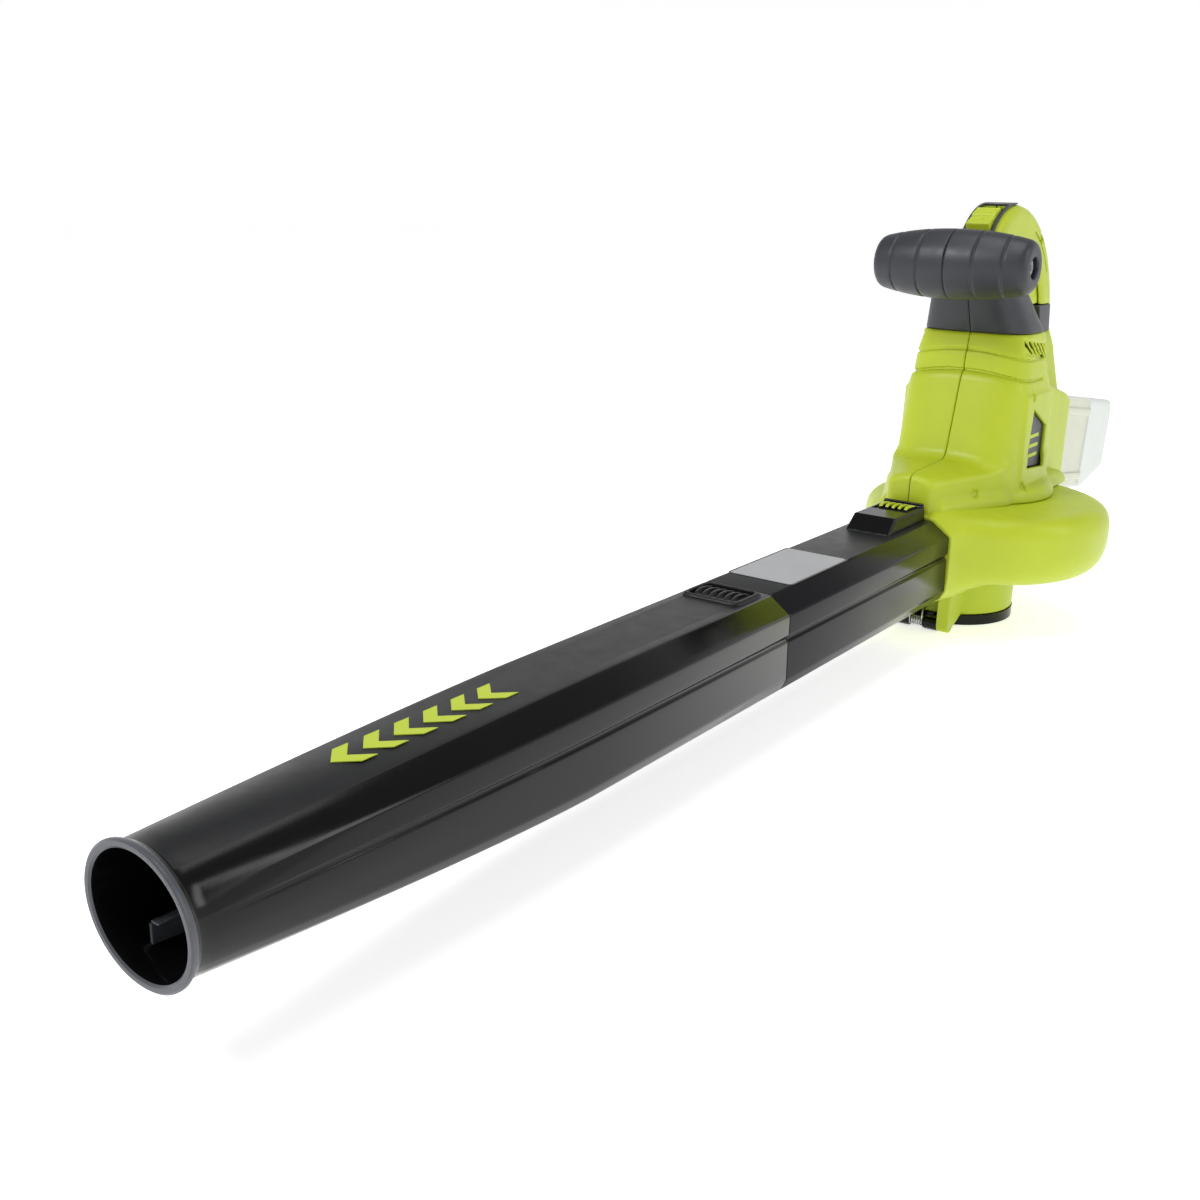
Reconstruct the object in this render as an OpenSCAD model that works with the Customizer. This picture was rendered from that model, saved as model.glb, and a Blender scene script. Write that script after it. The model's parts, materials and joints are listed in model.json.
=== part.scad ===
// Cordless leaf blower with a vacuum inlet, as an assembly of separate pieces.
// X runs across, +Y runs back from the mouth to the battery, +Z is up.
// The origin is on the fan axis at the underside of the inlet cover.

/* [Tubes] */
// Outer width of both duct tubes
tube_w = 72; // [56:1:92]
// Outer height of both duct tubes
tube_h = 64; // [50:1:78]
// Wall thickness of both duct tubes
tube_wall = 2.2; // [1.6:0.1:3]
// Length of the upper tube, shoulder to joint
upper_len = 235; // [160:1:300]
// Length of the lower tube, joint to mouth
lower_len = 415; // [330:1:500]
// Outer width of the mouth behind its lip
mouth_w = 61; // [48:1:72]
// Outer height of the mouth behind its lip
mouth_h = 55; // [44:1:64]
// How far the lip stands out all round
lip_out = 2.5; // [1:0.1:4]

/* [Fan housing] */
// Radius of the fan drum
drum_r = 92.5; // [82:0.5:112]
// Height of the fan drum
drum_h = 54; // [48:1:66]
// Sideways offset of the drum from the fan axis
drum_x = 22; // [14:1:28]
// Radius of the inlet collar
collar_r = 48; // [42:0.5:54]
// Height of the collar between cover and drum
collar_h = 35.7; // [28:0.1:44]
// Wall thickness of the fan housing
drum_wall = 3; // [2:0.1:4]

/* [Motor housing] */
// Half width of the column at its foot
column_a = 50; // [47:0.5:54]
// Half depth of the column at its foot
column_b = 57; // [50:0.5:68]
// Half width of the column at the belt
belt_a = 46.5; // [45:0.5:50]
// Half depth of the column at the belt
belt_b = 35; // [32:0.5:46]
// Half width of the column at its top
top_a = 43; // [40:0.5:46]
// Half depth of the column at its top
top_b = 30; // [26:0.5:36]
// Height of the column above the drum
column_h = 125; // [110:1:150]
// Wall thickness of the housing
shell = 3; // [2.4:0.1:4]

/* [Front grip] */
// Length of the T bar
bar_len = 116; // [96:1:140]
// Radius of the T bar at its middle
bar_r = 25; // [20:0.5:29]
// Radius of the T bar at its ends
bar_end_r = 18; // [15:0.5:22]

/* [Rear handle] */
// Width of the handle arch
handle_w = 34; // [30:0.5:42]
// Height of the arch above the column top
handle_h = 93; // [80:1:112]
// Full depth of the arch
handle_d = 150; // [136:1:180]
// Thickness of the arch
handle_t = 32; // [27:0.5:36]

/* [Inlet cover] */
// Thickness of the inlet cover
cover_t = 8; // [6:0.1:10]
// Radius of the hinge barrel
barrel_r = 4.8; // [4:0.1:5.5]
// Radius of the hinge pin
pin_r = 1.6; // [1.2:0.1:2.2]

/* [Fan and motor] */
// Radius of the fan
fan_r = 60; // [48:0.5:64]
// Number of fan blades
blades = 12; // [7:1:14]
// Radius of the motor shaft
shaft_r = 4; // [3:0.1:5]
// Radius of the motor can
can_r = 26; // [24:0.5:28]
// Length of the motor can
can_len = 44; // [38:1:48]

/* [Battery] */
// Width of the battery pack
pack_w = 74; // [62:1:78]
// Height of the battery pack
pack_h = 80; // [68:1:88]
// Length of the pack that stands out of the bay
pack_out = 140; // [128:1:170]
// Length of the pack inside the bay
pack_in = 38; // [30:1:44]
// Droop of the pack axis in degrees
pack_droop = 8; // [4:0.5:10]

/* [Fits] */
// Gap between pieces that move past each other
gap = 0.3; // [0.25:0.05:0.5]
// Running clearance round shafts and pins
run = 0.05; // [0.02:0.01:0.1]

/* [Hidden] */
$fn = 72;
hull_fn = 32;
tiny = 0.02;
half = 200;
green = [0.71, 0.80, 0.22];
dark = [0.22, 0.23, 0.26];
black = [0.06, 0.06, 0.07];
steel = [0.72, 0.73, 0.75];
copper = [0.72, 0.42, 0.24];
frosted = [0.90, 0.92, 0.90];
board_green = [0.10, 0.35, 0.18];
collar_z = cover_t + gap;
drum_z = collar_z + collar_h;
roof_z = drum_z + drum_h;
drum_y = -3;
drum_round = 13;
column_y = 14;
column_top = roof_z + column_h;
foot_top = roof_z + column_h * 0.24;
belt_z = roof_z + column_h * 0.86;
tube_z = roof_z - 2 - tube_h / 2;
tube_b = tube_w / 2;
root_y = -(drum_r + 15.5);
joint_y = root_y - upper_len;
mouth_y = joint_y - gap - lower_len;
sleeve_len = 30;
spigot_len = 36;
tube_out = 60;
straight_len = lower_len * 0.5;
mouth_z = tube_z + tube_h / 2 - mouth_h / 2;
block_h = 10;
block_w = 34;
block_len = 62;
block_slope = 11;
bar_y = -(top_b + 26);
bar_z = column_top + 51;
arch_top = column_top + handle_h;
arch_y = 24;
arch_rx = handle_d * 0.65;
arch_ry = handle_h + 17;
arch_fx = handle_d * 0.35;
arch_fz = arch_top - 46;
arch_steps = 12;
inner_rx = arch_rx - handle_t - 3;
inner_ry = arch_ry - handle_t - 10;
grip_low = column_top - 7;
grip_top = column_top + 15;
trigger_low = grip_top + 1.5;
trigger_top = trigger_low + 40;
trigger_w = 26;
trigger_y = 84;
trigger_pin_y = 82;
trigger_pin_z = trigger_top - 6;
dome_w = block_w;
slide_y = -6;
slide_z = arch_top - 9.6;
slide_tilt = 24;
slide_w = 18;
slide_len = 24;
slide_travel = 8;
bay_y = 114;
bay_z = roof_z + 26;
bay_w = pack_w + 10;
hinge_y = -66;
hinge_z = 5.4;
ear_x = 17;
ear_t = 10;
fan_z = drum_z + 8;
fan_top = roof_z - 11;
mount_t = 6;
mount_r = fan_r + 2.5;
motor_z = roof_z + mount_t + tiny;
bell_z = motor_z + can_len;
bell_h = 18;
bearing_r = 8;
bearing_t = 5;
latch_w = 26;
latch_len = 22;
latch_y = root_y - 17;
joint_latch_y = joint_y - 19;

// Points on an ellipse arc from angle a0 to angle a1
function arc(cy, cz, ry, rz, a0, a1, steps) =
  [for (i = [0 : steps]) let (a = a0 + (a1 - a0) * i / steps)
    [cy + ry * cos(a), cz + rz * sin(a)]];

// Rounded-box outline with half sizes a and b
function squircle(a, b) =
  [for (i = [0 : hull_fn - 1]) let (t = 360 * i / hull_fn, c = cos(t), s = sin(t))
    [a * sign(c) * pow(abs(c), 0.62), b * sign(s) * pow(abs(s), 0.62)]];

// Eight-sided duct outline, drawn in by an inset
function duct(inset) =
  let (b = tube_b - inset, t = tube_h / 2 - inset, f = tube_b * 0.61 - inset * 0.45)
    [[f, t], [b, t - 10 + inset * 0.4], [b, -t + 14 - inset * 0.3],
     [b - 3.3, -t + 7], [f, -t], [-f, -t], [3.3 - b, -t + 7],
     [-b, -t + 14 - inset * 0.3], [-b, t - 10 + inset * 0.4], [-f, t]];

module ring_slab(a, b, z, t) {
  translate([0, column_y, z])
    linear_extrude(t)
      polygon(squircle(a, b));
}

// Bar along X with a side outline drawn in Y and Z
module side_bar(w, points) {
  translate([-w / 2, 0, 0])
    rotate([90, 0, 90])
      linear_extrude(w)
        polygon(points);
}

module duct_run(y, len, inset) {
  translate([0, y, tube_z])
    rotate([90, 0, 0])
      linear_extrude(len)
        polygon(duct(inset));
}

// Wire rings tied by one straight strand, as a plain stand-in for a helix
module coil(r, wire, h, turns) {
  for (i = [0 : turns])
    translate([0, 0, wire + (h - 2 * wire) * i / turns])
      rotate_extrude()
        translate([r, 0])
          circle(wire, $fn = 24);
  translate([r, 0, wire])
    cylinder(r = wire * 0.7, h = h - 2 * wire);
}

module column_body(inset, low) {
  a = column_a - inset;
  b = column_b - inset;
  hull() {
    ring_slab(a, b, low, 1);
    ring_slab(a - 1, b - 1, foot_top, 1);
  }
  hull() {
    ring_slab(a - 1, b - 1, foot_top, 1);
    ring_slab(belt_a - inset, belt_b - inset, belt_z, 1);
    ring_slab(top_a - inset, top_b - inset, column_top - 1 - inset, 1);
  }
}

module tail_body(inset) {
  w = handle_w / 2 - inset;
  hull() {
    ring_slab(belt_a - 3 - inset, belt_b - 3 - inset, belt_z - 30, 24);
    translate([-w, bay_y - 50, column_top - 20])
      cube([2 * w, 56 - inset, 13 - inset]);
    translate([-bay_w / 2 + inset, 40, bay_z + 32])
      cube([bay_w - 2 * inset, 62 - inset, 12 - inset]);
  }
}

module bay_block(inset) {
  w = bay_w / 2 - inset;
  low = roof_z + 0.2 + inset;
  lip = bay_z - pack_h / 2 - 5 + inset;
  side_bar(2 * w, [[30, low], [bay_y - 21 + inset, low], [bay_y - 19 + inset, lip], [bay_y, lip],
    [bay_y + 2, bay_z + 38 - inset], [bay_y - 8, bay_z + 44 - inset], [30, bay_z + 50 - inset]]);
}

module pack_frame() {
  translate([0, bay_y, bay_z])
    rotate([-pack_droop, 0, 0])
      children();
}

module bay_room() {
  w = pack_w + 4 * gap;
  translate([-w / 2, -pack_in - 16, -pack_h * 0.26 - 2 * gap])
    cube([w, pack_in + 60, pack_h * 0.76 + 4 * gap]);
  translate([-w / 2, -2 - 2 * gap, -pack_h / 2 - 2 * gap])
    cube([w, 60, pack_h]);
}

module shoulder() {
  hull() {
    translate([0, column_y, roof_z + 0.2])
      cylinder(r = mount_r + 2, h = 1, $fn = hull_fn);
    translate([0, column_y, roof_z + 20])
      cylinder(r = column_a + 3, h = 3, $fn = hull_fn);
    translate([-dome_w / 2, root_y + 4, roof_z + 0.2])
      cube([dome_w, 2, 22]);
    translate([-dome_w / 2 + 6, root_y + 6, roof_z + 27])
      cube([dome_w - 12, 2, 1]);
  }
}

arch_outer = concat(arc(arch_y, arch_fz, arch_fx, 46, 180, 90, arch_steps),
  arc(arch_y, arch_top - arch_ry, arch_rx, arch_ry, 84, 6, arch_steps),
  [[arch_y + arch_rx, grip_low]]);
arch_inner = concat([[arch_y + 3 + inner_rx, grip_low]],
  arc(arch_y + 3, grip_low, inner_rx, inner_ry, 6, 90, arch_steps),
  arc(arch_y + 3, grip_low + 24, arch_fx - 20, inner_ry - 24, 98, 180, arch_steps));

module arch_solid(w) {
  side_bar(w, concat(arch_outer, arch_inner));
}

module arch_hollow(w) {
  r = 4;
  side_bar(w, concat(
    arc(arch_y, arch_top - arch_ry, arch_rx - r, arch_ry - r, 84, 8, arch_steps),
    arc(arch_y + 3, grip_low, inner_rx + r, inner_ry + r, 8, 86, arch_steps)));
}

module trigger_room() {
  side_bar(trigger_w + 2 * gap + 0.4, [[trigger_y - 32, trigger_low - 1], [trigger_y + 25, trigger_low - 1],
    [trigger_y + 22, trigger_low + 16], [trigger_y + 6, trigger_top + 3], [trigger_y - 24, trigger_top + 3]]);
}

module grip_room() {
  side_bar(handle_w + 1, [[arch_y + 40, grip_low - tiny], [arch_y + arch_rx - 6, grip_low - tiny],
    [arch_y + arch_rx - 10, grip_top + 0.5], [arch_y + 40, grip_top + 0.5]]);
}

module slide_frame() {
  translate([0, slide_y, slide_z])
    rotate([slide_tilt, 0, 0])
      children();
}

module vent_slots(side) {
  for (i = [0 : 4])
    translate([side * (belt_a - 6), column_y - 4 + i * 7, belt_z + 2 - i * 2])
      rotate([42, 0, 0])
        cube([24, 2.4, 22 - i], center = true);
}

screw_spots = [[0, column_top - 8, top_a + 1], [-1, belt_z - 29, belt_a],
  [-12, roof_z + 12, column_a + 1], [-62, roof_z + 12, 36]];

module housing_whole() {
  difference() {
    union() {
      column_body(0, roof_z + 0.2);
      tail_body(0);
      bay_block(0);
      shoulder();
      arch_solid(handle_w);
      translate([-belt_a - 1, column_y - 24, foot_top - 12])
        cube([2 * belt_a + 2, 44, 58]);
    }
    column_body(shell, roof_z);
    tail_body(shell);
    bay_block(shell);
    translate([-10, root_y + 14, roof_z])
      cube([20, 60, 19]);
    arch_hollow(handle_w - 2 * shell);
    translate([0, 0, roof_z - tiny])
      cylinder(r = mount_r - 7 + gap, h = mount_t + 2);
    pack_frame()
      bay_room();
    trigger_room();
    grip_room();
    slide_frame()
      translate([-slide_w / 2 - 0.5, -slide_len / 2 - slide_travel, -3.3])
        cube([slide_w + 1, slide_len + 2 * slide_travel, 12]);
    translate([0, trigger_pin_y, trigger_pin_z])
      rotate([0, 90, 0])
        cylinder(r = 2, h = handle_w - 4, center = true);
    vent_slots(1);
    vent_slots(-1);
    for (s = screw_spots)
      translate([0, s[0], s[1]])
        rotate([0, 90, 0])
          cylinder(r = 3.6, h = half);
    for (s = screw_spots)
      translate([s[2] - 12, s[0], s[1]])
        rotate([0, -90, 0])
          cylinder(r = 1.6, h = s[2] - 4);
    translate([belt_a - 1, column_y - 22, foot_top - 10])
      cube([3, 40, 54]);
    barrel_room(0.2);
    post_room();
  }
}

module housing_left() {
  color(green)
    intersection() {
      housing_whole();
      translate([-half, -half, 0])
        cube([half, 2 * half, 2 * half]);
    }
}

module housing_right() {
  color(green)
    intersection() {
      housing_whole();
      translate([0, -half, 0])
        cube([half, 2 * half, 2 * half]);
    }
}

drum_profile = concat([[0, 0]], arc(drum_r - drum_round, drum_round, drum_round, drum_round, -90, 0, 6),
  arc(drum_r - drum_round, drum_h - drum_round, drum_round, drum_round, 0, 90, 6), [[0, drum_h]]);
drum_room = concat([[0, drum_wall]],
  arc(drum_r - drum_round, drum_round, drum_round - drum_wall, drum_round - drum_wall, -90, 0, 6),
  arc(drum_r - drum_round, drum_h - drum_round, drum_round - drum_wall, drum_round - drum_wall, 0, 90, 6),
  [[0, drum_h - drum_wall]]);

module drum_shell() {
  translate([drum_x, drum_y, drum_z])
    difference() {
      rotate_extrude()
        polygon(drum_profile);
      rotate_extrude()
        polygon(drum_room);
    }
}

module volute() {
  split = drum_z + drum_round;
  color(green)
    difference() {
      union() {
        intersection() {
          drum_shell();
          translate([-half, -half, split])
            cube(2 * half);
        }
        difference() {
          union() {
            duct_run(-collar_r - 1, -root_y - collar_r - 1, 0);
            duct_run(root_y + 1, spigot_len + 1, tube_wall + gap);
          }
          translate([drum_x, drum_y, drum_z])
            rotate_extrude()
              polygon(drum_room);
        }
      }
      duct_run(-collar_r - 4, -root_y + spigot_len, 2 * tube_wall + gap);
      translate([0, 0, roof_z - drum_wall - 1])
        cylinder(r = mount_r - 6, h = 8);
      for (a = [45 : 90 : 315])
        rotate([0, 0, a])
          translate([mount_r - 3, 0, roof_z - 8])
            cylinder(r = 1.5, h = 10);
    }
}

module drum_floor() {
  split = drum_z + drum_round - tiny;
  color(green)
    difference() {
      union() {
        intersection() {
          drum_shell();
          translate([-half, -half, split - 2 * half])
            cube(2 * half);
        }
        translate([0, 0, collar_z])
          cylinder(r = collar_r, h = collar_h + 1);
        for (s = [-1, 1])
          translate([s * (ear_x + ear_t / 2), 0, 0])
            hinge_ear();
        for (s = [-1, 1])
          translate([s * 11.5 - 1.5, collar_r - 4, cover_t + 4])
            cube([3, 13, drum_z - cover_t - 2]);
      }
      duct_run(-collar_r - 1 + gap / 2, -root_y, -gap / 2);
      translate([0, 0, -tiny])
        cylinder(r = collar_r - drum_wall, h = drum_z + drum_wall + 1);
      translate([0, hinge_y, hinge_z])
        rotate([0, 90, 0])
          cylinder(r = pin_r, h = 2 * ear_x + 2 * ear_t + 1, center = true);
      translate([-ear_x, hinge_y - 12, -1])
        cube([2 * ear_x, 28 - gap, drum_z - 8]);
    }
}

module hinge_ear() {
  difference() {
    side_bar(ear_t, concat(arc(hinge_y, hinge_z, 5.2, 5.2, 180, 330, 8),
      [[-collar_r + 8, collar_z + 4], [-collar_r + 14, drum_z + 2], [hinge_y - 4, drum_z + 2]]));
    translate([-half, 0, -half])
      cube(2 * half);
  }
}

module inlet_cover() {
  color(black)
    difference() {
      union() {
        difference() {
          cylinder(r = collar_r, h = cover_t);
          translate([0, 0, -tiny])
            cylinder(r = collar_r - 5, h = cover_t + 1);
        }
        difference() {
          cylinder(r = collar_r * 0.5, h = cover_t - 2);
          translate([0, 0, -tiny])
            cylinder(r = collar_r * 0.5 - 2.5, h = cover_t);
        }
        cylinder(r = 9, h = cover_t - 2);
        for (a = [0 : 45 : 315])
          rotate([0, 0, a])
            translate([5, -1.25, 0])
              cube([collar_r - 8, 2.5, cover_t - 2]);
        for (x = [-ear_x + gap + 0.1, 6])
          translate([x, hinge_y, 0])
            cube([ear_x - 6 - gap - 0.1, 24, cover_t - 1]);
        translate([-8, collar_r - 2, 0])
          cube([16, 5, cover_t - 1]);
        for (x = [-ear_x + gap + 0.1, 6])
          translate([x, hinge_y, hinge_z])
            rotate([0, 90, 0])
              cylinder(r = barrel_r, h = ear_x - 6 - gap - 0.1);
      }
      translate([-half, hinge_y, hinge_z])
        rotate([0, 90, 0])
          cylinder(r = pin_r + run, h = 2 * half);
    }
}

module hinge_pin() {
  color(steel)
    translate([-ear_x - ear_t + 0.5, hinge_y, hinge_z])
      rotate([0, 90, 0])
        cylinder(r = pin_r, h = 2 * ear_x + 2 * ear_t - 1);
}

module hinge_spring() {
  color(steel)
    translate([-5, hinge_y, hinge_z])
      rotate([0, 90, 0])
        coil(3.2, 0.6, 10, 5);
}

module cover_latch() {
  color(black)
    union() {
      translate([-9.6, collar_r + 3.5, 1])
        cube([19.2, 5, 17]);
      translate([-9.6, collar_r + 8, 2])
        cube([19.2, 4, 5]);
    }
}

module cover_latch_spring() {
  color(steel)
    translate([0, collar_r + 0.3, cover_t + 6])
      rotate([-90, 0, 0])
        coil(2.4, 0.4, 2.9, 2);
}

module safety_switch() {
  color(dark)
    translate([-6, collar_r + 0.2, drum_z - 17])
      cube([12, 8, 16.8]);
}

module impeller() {
  color(black)
    difference() {
      union() {
        translate([0, 0, fan_top - 3])
          cylinder(r = fan_r, h = 3);
        translate([0, 0, fan_z])
          cylinder(r = 13, h = fan_top - fan_z);
        for (i = [0 : blades - 1])
          rotate([0, 0, i * 360 / blades])
            translate([11, -1, fan_z])
              cube([fan_r - 12, 2, fan_top - fan_z - 1]);
      }
      translate([0, 0, fan_z - 1])
        cylinder(r = shaft_r, h = fan_top - fan_z + 2);
    }
}

module impeller_nut() {
  color(steel)
    translate([0, 0, fan_z - 5])
      difference() {
        cylinder(r = 8, h = 5 - tiny, $fn = 6);
        translate([0, 0, -1])
          cylinder(r = shaft_r, h = 7);
      }
}

module motor_shaft() {
  color(steel)
    translate([0, 0, fan_z - 8])
      cylinder(r = shaft_r - run, h = bell_z + bell_h - fan_z + 5);
}

module motor_mount() {
  color(dark)
    difference() {
      union() {
        translate([0, 0, roof_z])
          cylinder(r = mount_r - 7, h = mount_t);
        translate([0, 0, roof_z - 6])
          cylinder(r = 13, h = 7);
      }
      translate([0, 0, roof_z + mount_t - bearing_t - 1])
        cylinder(r = bearing_r, h = bearing_t + 2);
      translate([0, 0, roof_z - 10])
        cylinder(r = shaft_r + 1.5, h = 20);
      for (a = [0, 180])
        rotate([0, 0, a])
          translate([0, 17, roof_z - 1])
            cylinder(r = 2, h = mount_t + 2);
    }
}

module mount_screws() {
  color(steel)
    for (a = [45 : 90 : 315])
      rotate([0, 0, a])
        translate([mount_r - 3, 0, roof_z - 2.8])
          cylinder(r = 1.48, h = 2.6);
}

module motor_screws() {
  color(steel)
    for (a = [0, 180])
      rotate([0, 0, a])
        translate([0, 17, roof_z - 2.5])
          union() {
            cylinder(r = 3.4, h = 2.5 - tiny);
            cylinder(r = 1.95, h = mount_t + 5);
          }
}

module motor_can() {
  color(steel)
    difference() {
      translate([0, 0, motor_z])
        cylinder(r = can_r, h = can_len);
      translate([0, 0, motor_z + 2])
        cylinder(r = can_r - 1.6, h = can_len);
      translate([0, 0, motor_z - 1])
        cylinder(r = shaft_r + 2, h = 5);
      for (a = [0, 180])
        rotate([0, 0, a])
          translate([0, 17, motor_z - 1])
            cylinder(r = 1.97, h = 5);
    }
}

module end_bell() {
  color(black)
    difference() {
      translate([0, 0, bell_z + tiny])
        cylinder(r = can_r, h = bell_h);
      translate([0, 0, bell_z - 1])
        cylinder(r = can_r - 3, h = bell_h - 5);
      translate([0, 0, bell_z + bell_h - bearing_t])
        cylinder(r = bearing_r, h = bearing_t + 1);
      translate([0, 0, bell_z])
        cylinder(r = shaft_r + 1.5, h = bell_h);
    }
}

module bearings() {
  color(steel)
    for (z = [roof_z + mount_t - bearing_t - 1, bell_z + bell_h - bearing_t])
      translate([0, 0, z + tiny])
        difference() {
          cylinder(r = bearing_r - tiny, h = bearing_t);
          translate([0, 0, -1])
            cylinder(r = shaft_r, h = bearing_t + 2);
        }
}

module armature() {
  color(copper)
    translate([0, 0, motor_z + 8])
      difference() {
        cylinder(r = can_r - 8, h = can_len - 14);
        translate([0, 0, -1])
          cylinder(r = shaft_r, h = can_len);
        for (i = [0 : 11])
          rotate([0, 0, i * 30])
            translate([can_r - 12, -0.8, -1])
              cube([6, 1.6, can_len]);
      }
}

module commutator() {
  color(copper)
    translate([0, 0, bell_z + 1])
      difference() {
        cylinder(r = 9, h = 9);
        translate([0, 0, -1])
          cylinder(r = shaft_r, h = 11);
      }
}

module brushes() {
  color(dark)
    for (a = [0, 180])
      rotate([0, 0, a])
        translate([9 + gap, -2.5, bell_z + 2])
          cube([can_r - 3.4 - 9 - gap, 5, 6]);
}

module magnets() {
  color(dark)
    difference() {
      translate([0, 0, motor_z + 6])
        cylinder(r = can_r - 1.6 - tiny, h = can_len - 10);
      translate([0, 0, motor_z + 5])
        cylinder(r = can_r - 7, h = can_len);
      translate([-4, -half, motor_z])
        cube([8, 2 * half, can_len]);
    }
}

module housing_screws() {
  color(steel)
    for (s = screw_spots)
      translate([s[2] - 8, s[0], s[1]])
        rotate([0, -90, 0])
          union() {
            cylinder(r = 3.3, h = 3);
            cylinder(r = 1.58, h = 12);
          }
}

module side_badge() {
  color(dark)
    translate([belt_a - 1 + tiny, 0, 0])
      rotate([90, 0, 90])
        linear_extrude(2.4)
          polygon([[column_y - 18, foot_top - 5], [column_y + 17, foot_top - 8],
            [column_y + 18, foot_top + 23], [column_y - 12, foot_top + 39]]);
}

bar_steps = 12;
bar_profile = concat([[0, 0]], [for (i = [0 : bar_steps])
  [bar_r - (bar_r - bar_end_r) * pow(i / bar_steps, 2.2) - ((i == 4 || i == 8) ? 0.9 : 0),
    bar_len / 2 * i / bar_steps]], [[0, bar_len / 2]]);

module bar_shape(side) {
  translate([0, bar_y, bar_z])
    rotate([0, 90 * side, 0])
      rotate_extrude()
        polygon(bar_profile);
}

module barrel_room(extra) {
  translate([0, bar_y, bar_z])
    rotate([0, 90, 0])
      cylinder(r = bar_r + extra, h = bar_len, center = true);
}

module post_shape(inset) {
  hull() {
    ring_slab(top_a - 1 - inset, top_b - 1 - inset, column_top + tiny, 0.5);
    translate([0, -column_y + 8, 0])
      ring_slab(34 - inset, 24 - inset, column_top + 26, 1);
    translate([-24 + inset, bar_y + 4, column_top + 38])
      cube([48 - 2 * inset, 34, 1]);
  }
}

module post_room() {
  translate([-half, -half, column_top])
    intersection() {
      cube([2 * half, half + arch_y + 20, 32]);
      translate([half - 60, half - 100, 0])
        cube([120, 144, 32]);
    }
}

module front_grip(side) {
  difference() {
    union() {
      bar_shape(side);
      intersection() {
        post_shape(0);
        translate([side > 0 ? 0 : -half, -half, 0])
          cube([half, 2 * half, 2 * half]);
      }
    }
    post_shape_room();
    translate([0, bar_y, bar_z])
      rotate([0, 90, 0])
        cylinder(r = 2.7, h = bar_len + 2, center = true);
    translate([side * (bar_len / 2 - 7), bar_y, bar_z])
      rotate([0, 90 * side, 0])
        cylinder(r = 7.4, h = 8, $fn = 6);
    arch_solid(handle_w + 0.1);
  }
}

module post_shape_room() {
  translate([0, column_y, column_top - 1])
    scale([1, 0.62, 1])
      cylinder(r1 = 38, r2 = 26, h = 26);
}

module front_grip_left() {
  color(dark)
    front_grip(-1);
}

module front_grip_right() {
  color(dark)
    front_grip(1);
}

module grip_bolt() {
  color(steel)
    translate([0, bar_y, bar_z])
      rotate([0, 90, 0])
        union() {
          translate([0, 0, -bar_len / 2 + 4])
            cylinder(r = 2.65, h = bar_len - 12);
          translate([0, 0, bar_len / 2 - 8])
            difference() {
              translate([0, 0, 1 + tiny])
                cylinder(r = 5, h = 4);
              translate([0, 0, 3])
                cylinder(r = 2.5, h = 4, $fn = 6);
            }
        }
}

module grip_nut() {
  color(steel)
    translate([-bar_len / 2 + 7 - tiny, bar_y, bar_z])
      rotate([0, -90, 0])
        difference() {
          cylinder(r = 6.8, h = 4, $fn = 6);
          translate([0, 0, -1])
            cylinder(r = 2.66, h = 6);
        }
}

module rear_grip_pad() {
  color(dark)
    difference() {
      side_bar(handle_w, [[arch_y + 3 + inner_rx, grip_low], [arch_y + arch_rx - 6.3, grip_low],
        [arch_y + arch_rx - 8.6, grip_low + 12], [arch_y + arch_rx - 10.3, grip_top],
        [arch_y + 1.5 + inner_rx - 3, grip_top], [arch_y + 3 + inner_rx - 1, grip_low + 12]]);
      side_bar(handle_w - 8, [[arch_y + 7 + inner_rx, grip_low - 1], [arch_y + arch_rx - 10, grip_low - 1],
        [arch_y + arch_rx - 14, grip_top + 1], [arch_y + 4 + inner_rx, grip_top + 1]]);
    }
}

module trigger() {
  y = trigger_y;
  z = trigger_low;
  color(green)
    difference() {
      side_bar(trigger_w, [[y - 18, z + 34], [y - 24, z + 26], [y - 26, z + 16], [y - 23, z + 7],
        [y - 17, z + 2], [y - 10, z], [y + 10, z], [y + 15, z + 3], [y + 14, z + 14], [y + 8, z + 26],
        [y + 2, z + 36], [y - 4, z + 39], [y - 10, z + 39], [y - 15, z + 37]]);
      side_bar(trigger_w - 6, [[y - 6, z + 10], [y + 16, z + 10], [y + 8, z + 28], [y - 6, z + 28]]);
      translate([0, trigger_pin_y, trigger_pin_z])
        rotate([0, 90, 0])
          union() {
            cylinder(r = 2 + run, h = 60, center = true);
            cylinder(r = 4.2, h = 9, center = true);
          }
    }
}

module trigger_pin() {
  color(steel)
    translate([0, trigger_pin_y, trigger_pin_z])
      rotate([0, 90, 0])
        cylinder(r = 1.98, h = handle_w - 5, center = true);
}

module trigger_spring() {
  color(steel)
    translate([-4, trigger_pin_y, trigger_pin_z])
      rotate([0, 90, 0])
        coil(3.1, 0.5, 8, 6);
}

module power_switch() {
  color(dark)
    translate([-8, trigger_y + 20.2, trigger_low + 4])
      cube([16, 2.8, 10]);
}

module bezel_band(out) {
  side_bar(24, concat(
    arc(arch_y, arch_fz, arch_fx + out, 46 + out, 158, 90, 10),
    arc(arch_y, arch_top - arch_ry, arch_rx + out, arch_ry + out, 88, 80, 2),
    arc(arch_y, arch_top - arch_ry, arch_rx, arch_ry, 80, 88, 2),
    arc(arch_y, arch_fz, arch_fx, 46, 90, 158, 10)));
}

module switch_bezel() {
  color(dark)
    difference() {
      intersection() {
        bezel_band(1.2);
        translate([0, 0, arch_fz])
          linear_extrude(60)
            polygon([[-12, -40], [12, -40], [12, 24], [4, 36], [-4, 36], [-12, 24]]);
      }
      slide_frame()
        translate([-slide_w / 2 - 0.5, -slide_len / 2 - slide_travel, -3.3])
          cube([slide_w + 1, slide_len + 2 * slide_travel, 12]);
      barrel_room(0.2);
      arch_solid(handle_w);
    }
}

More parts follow.
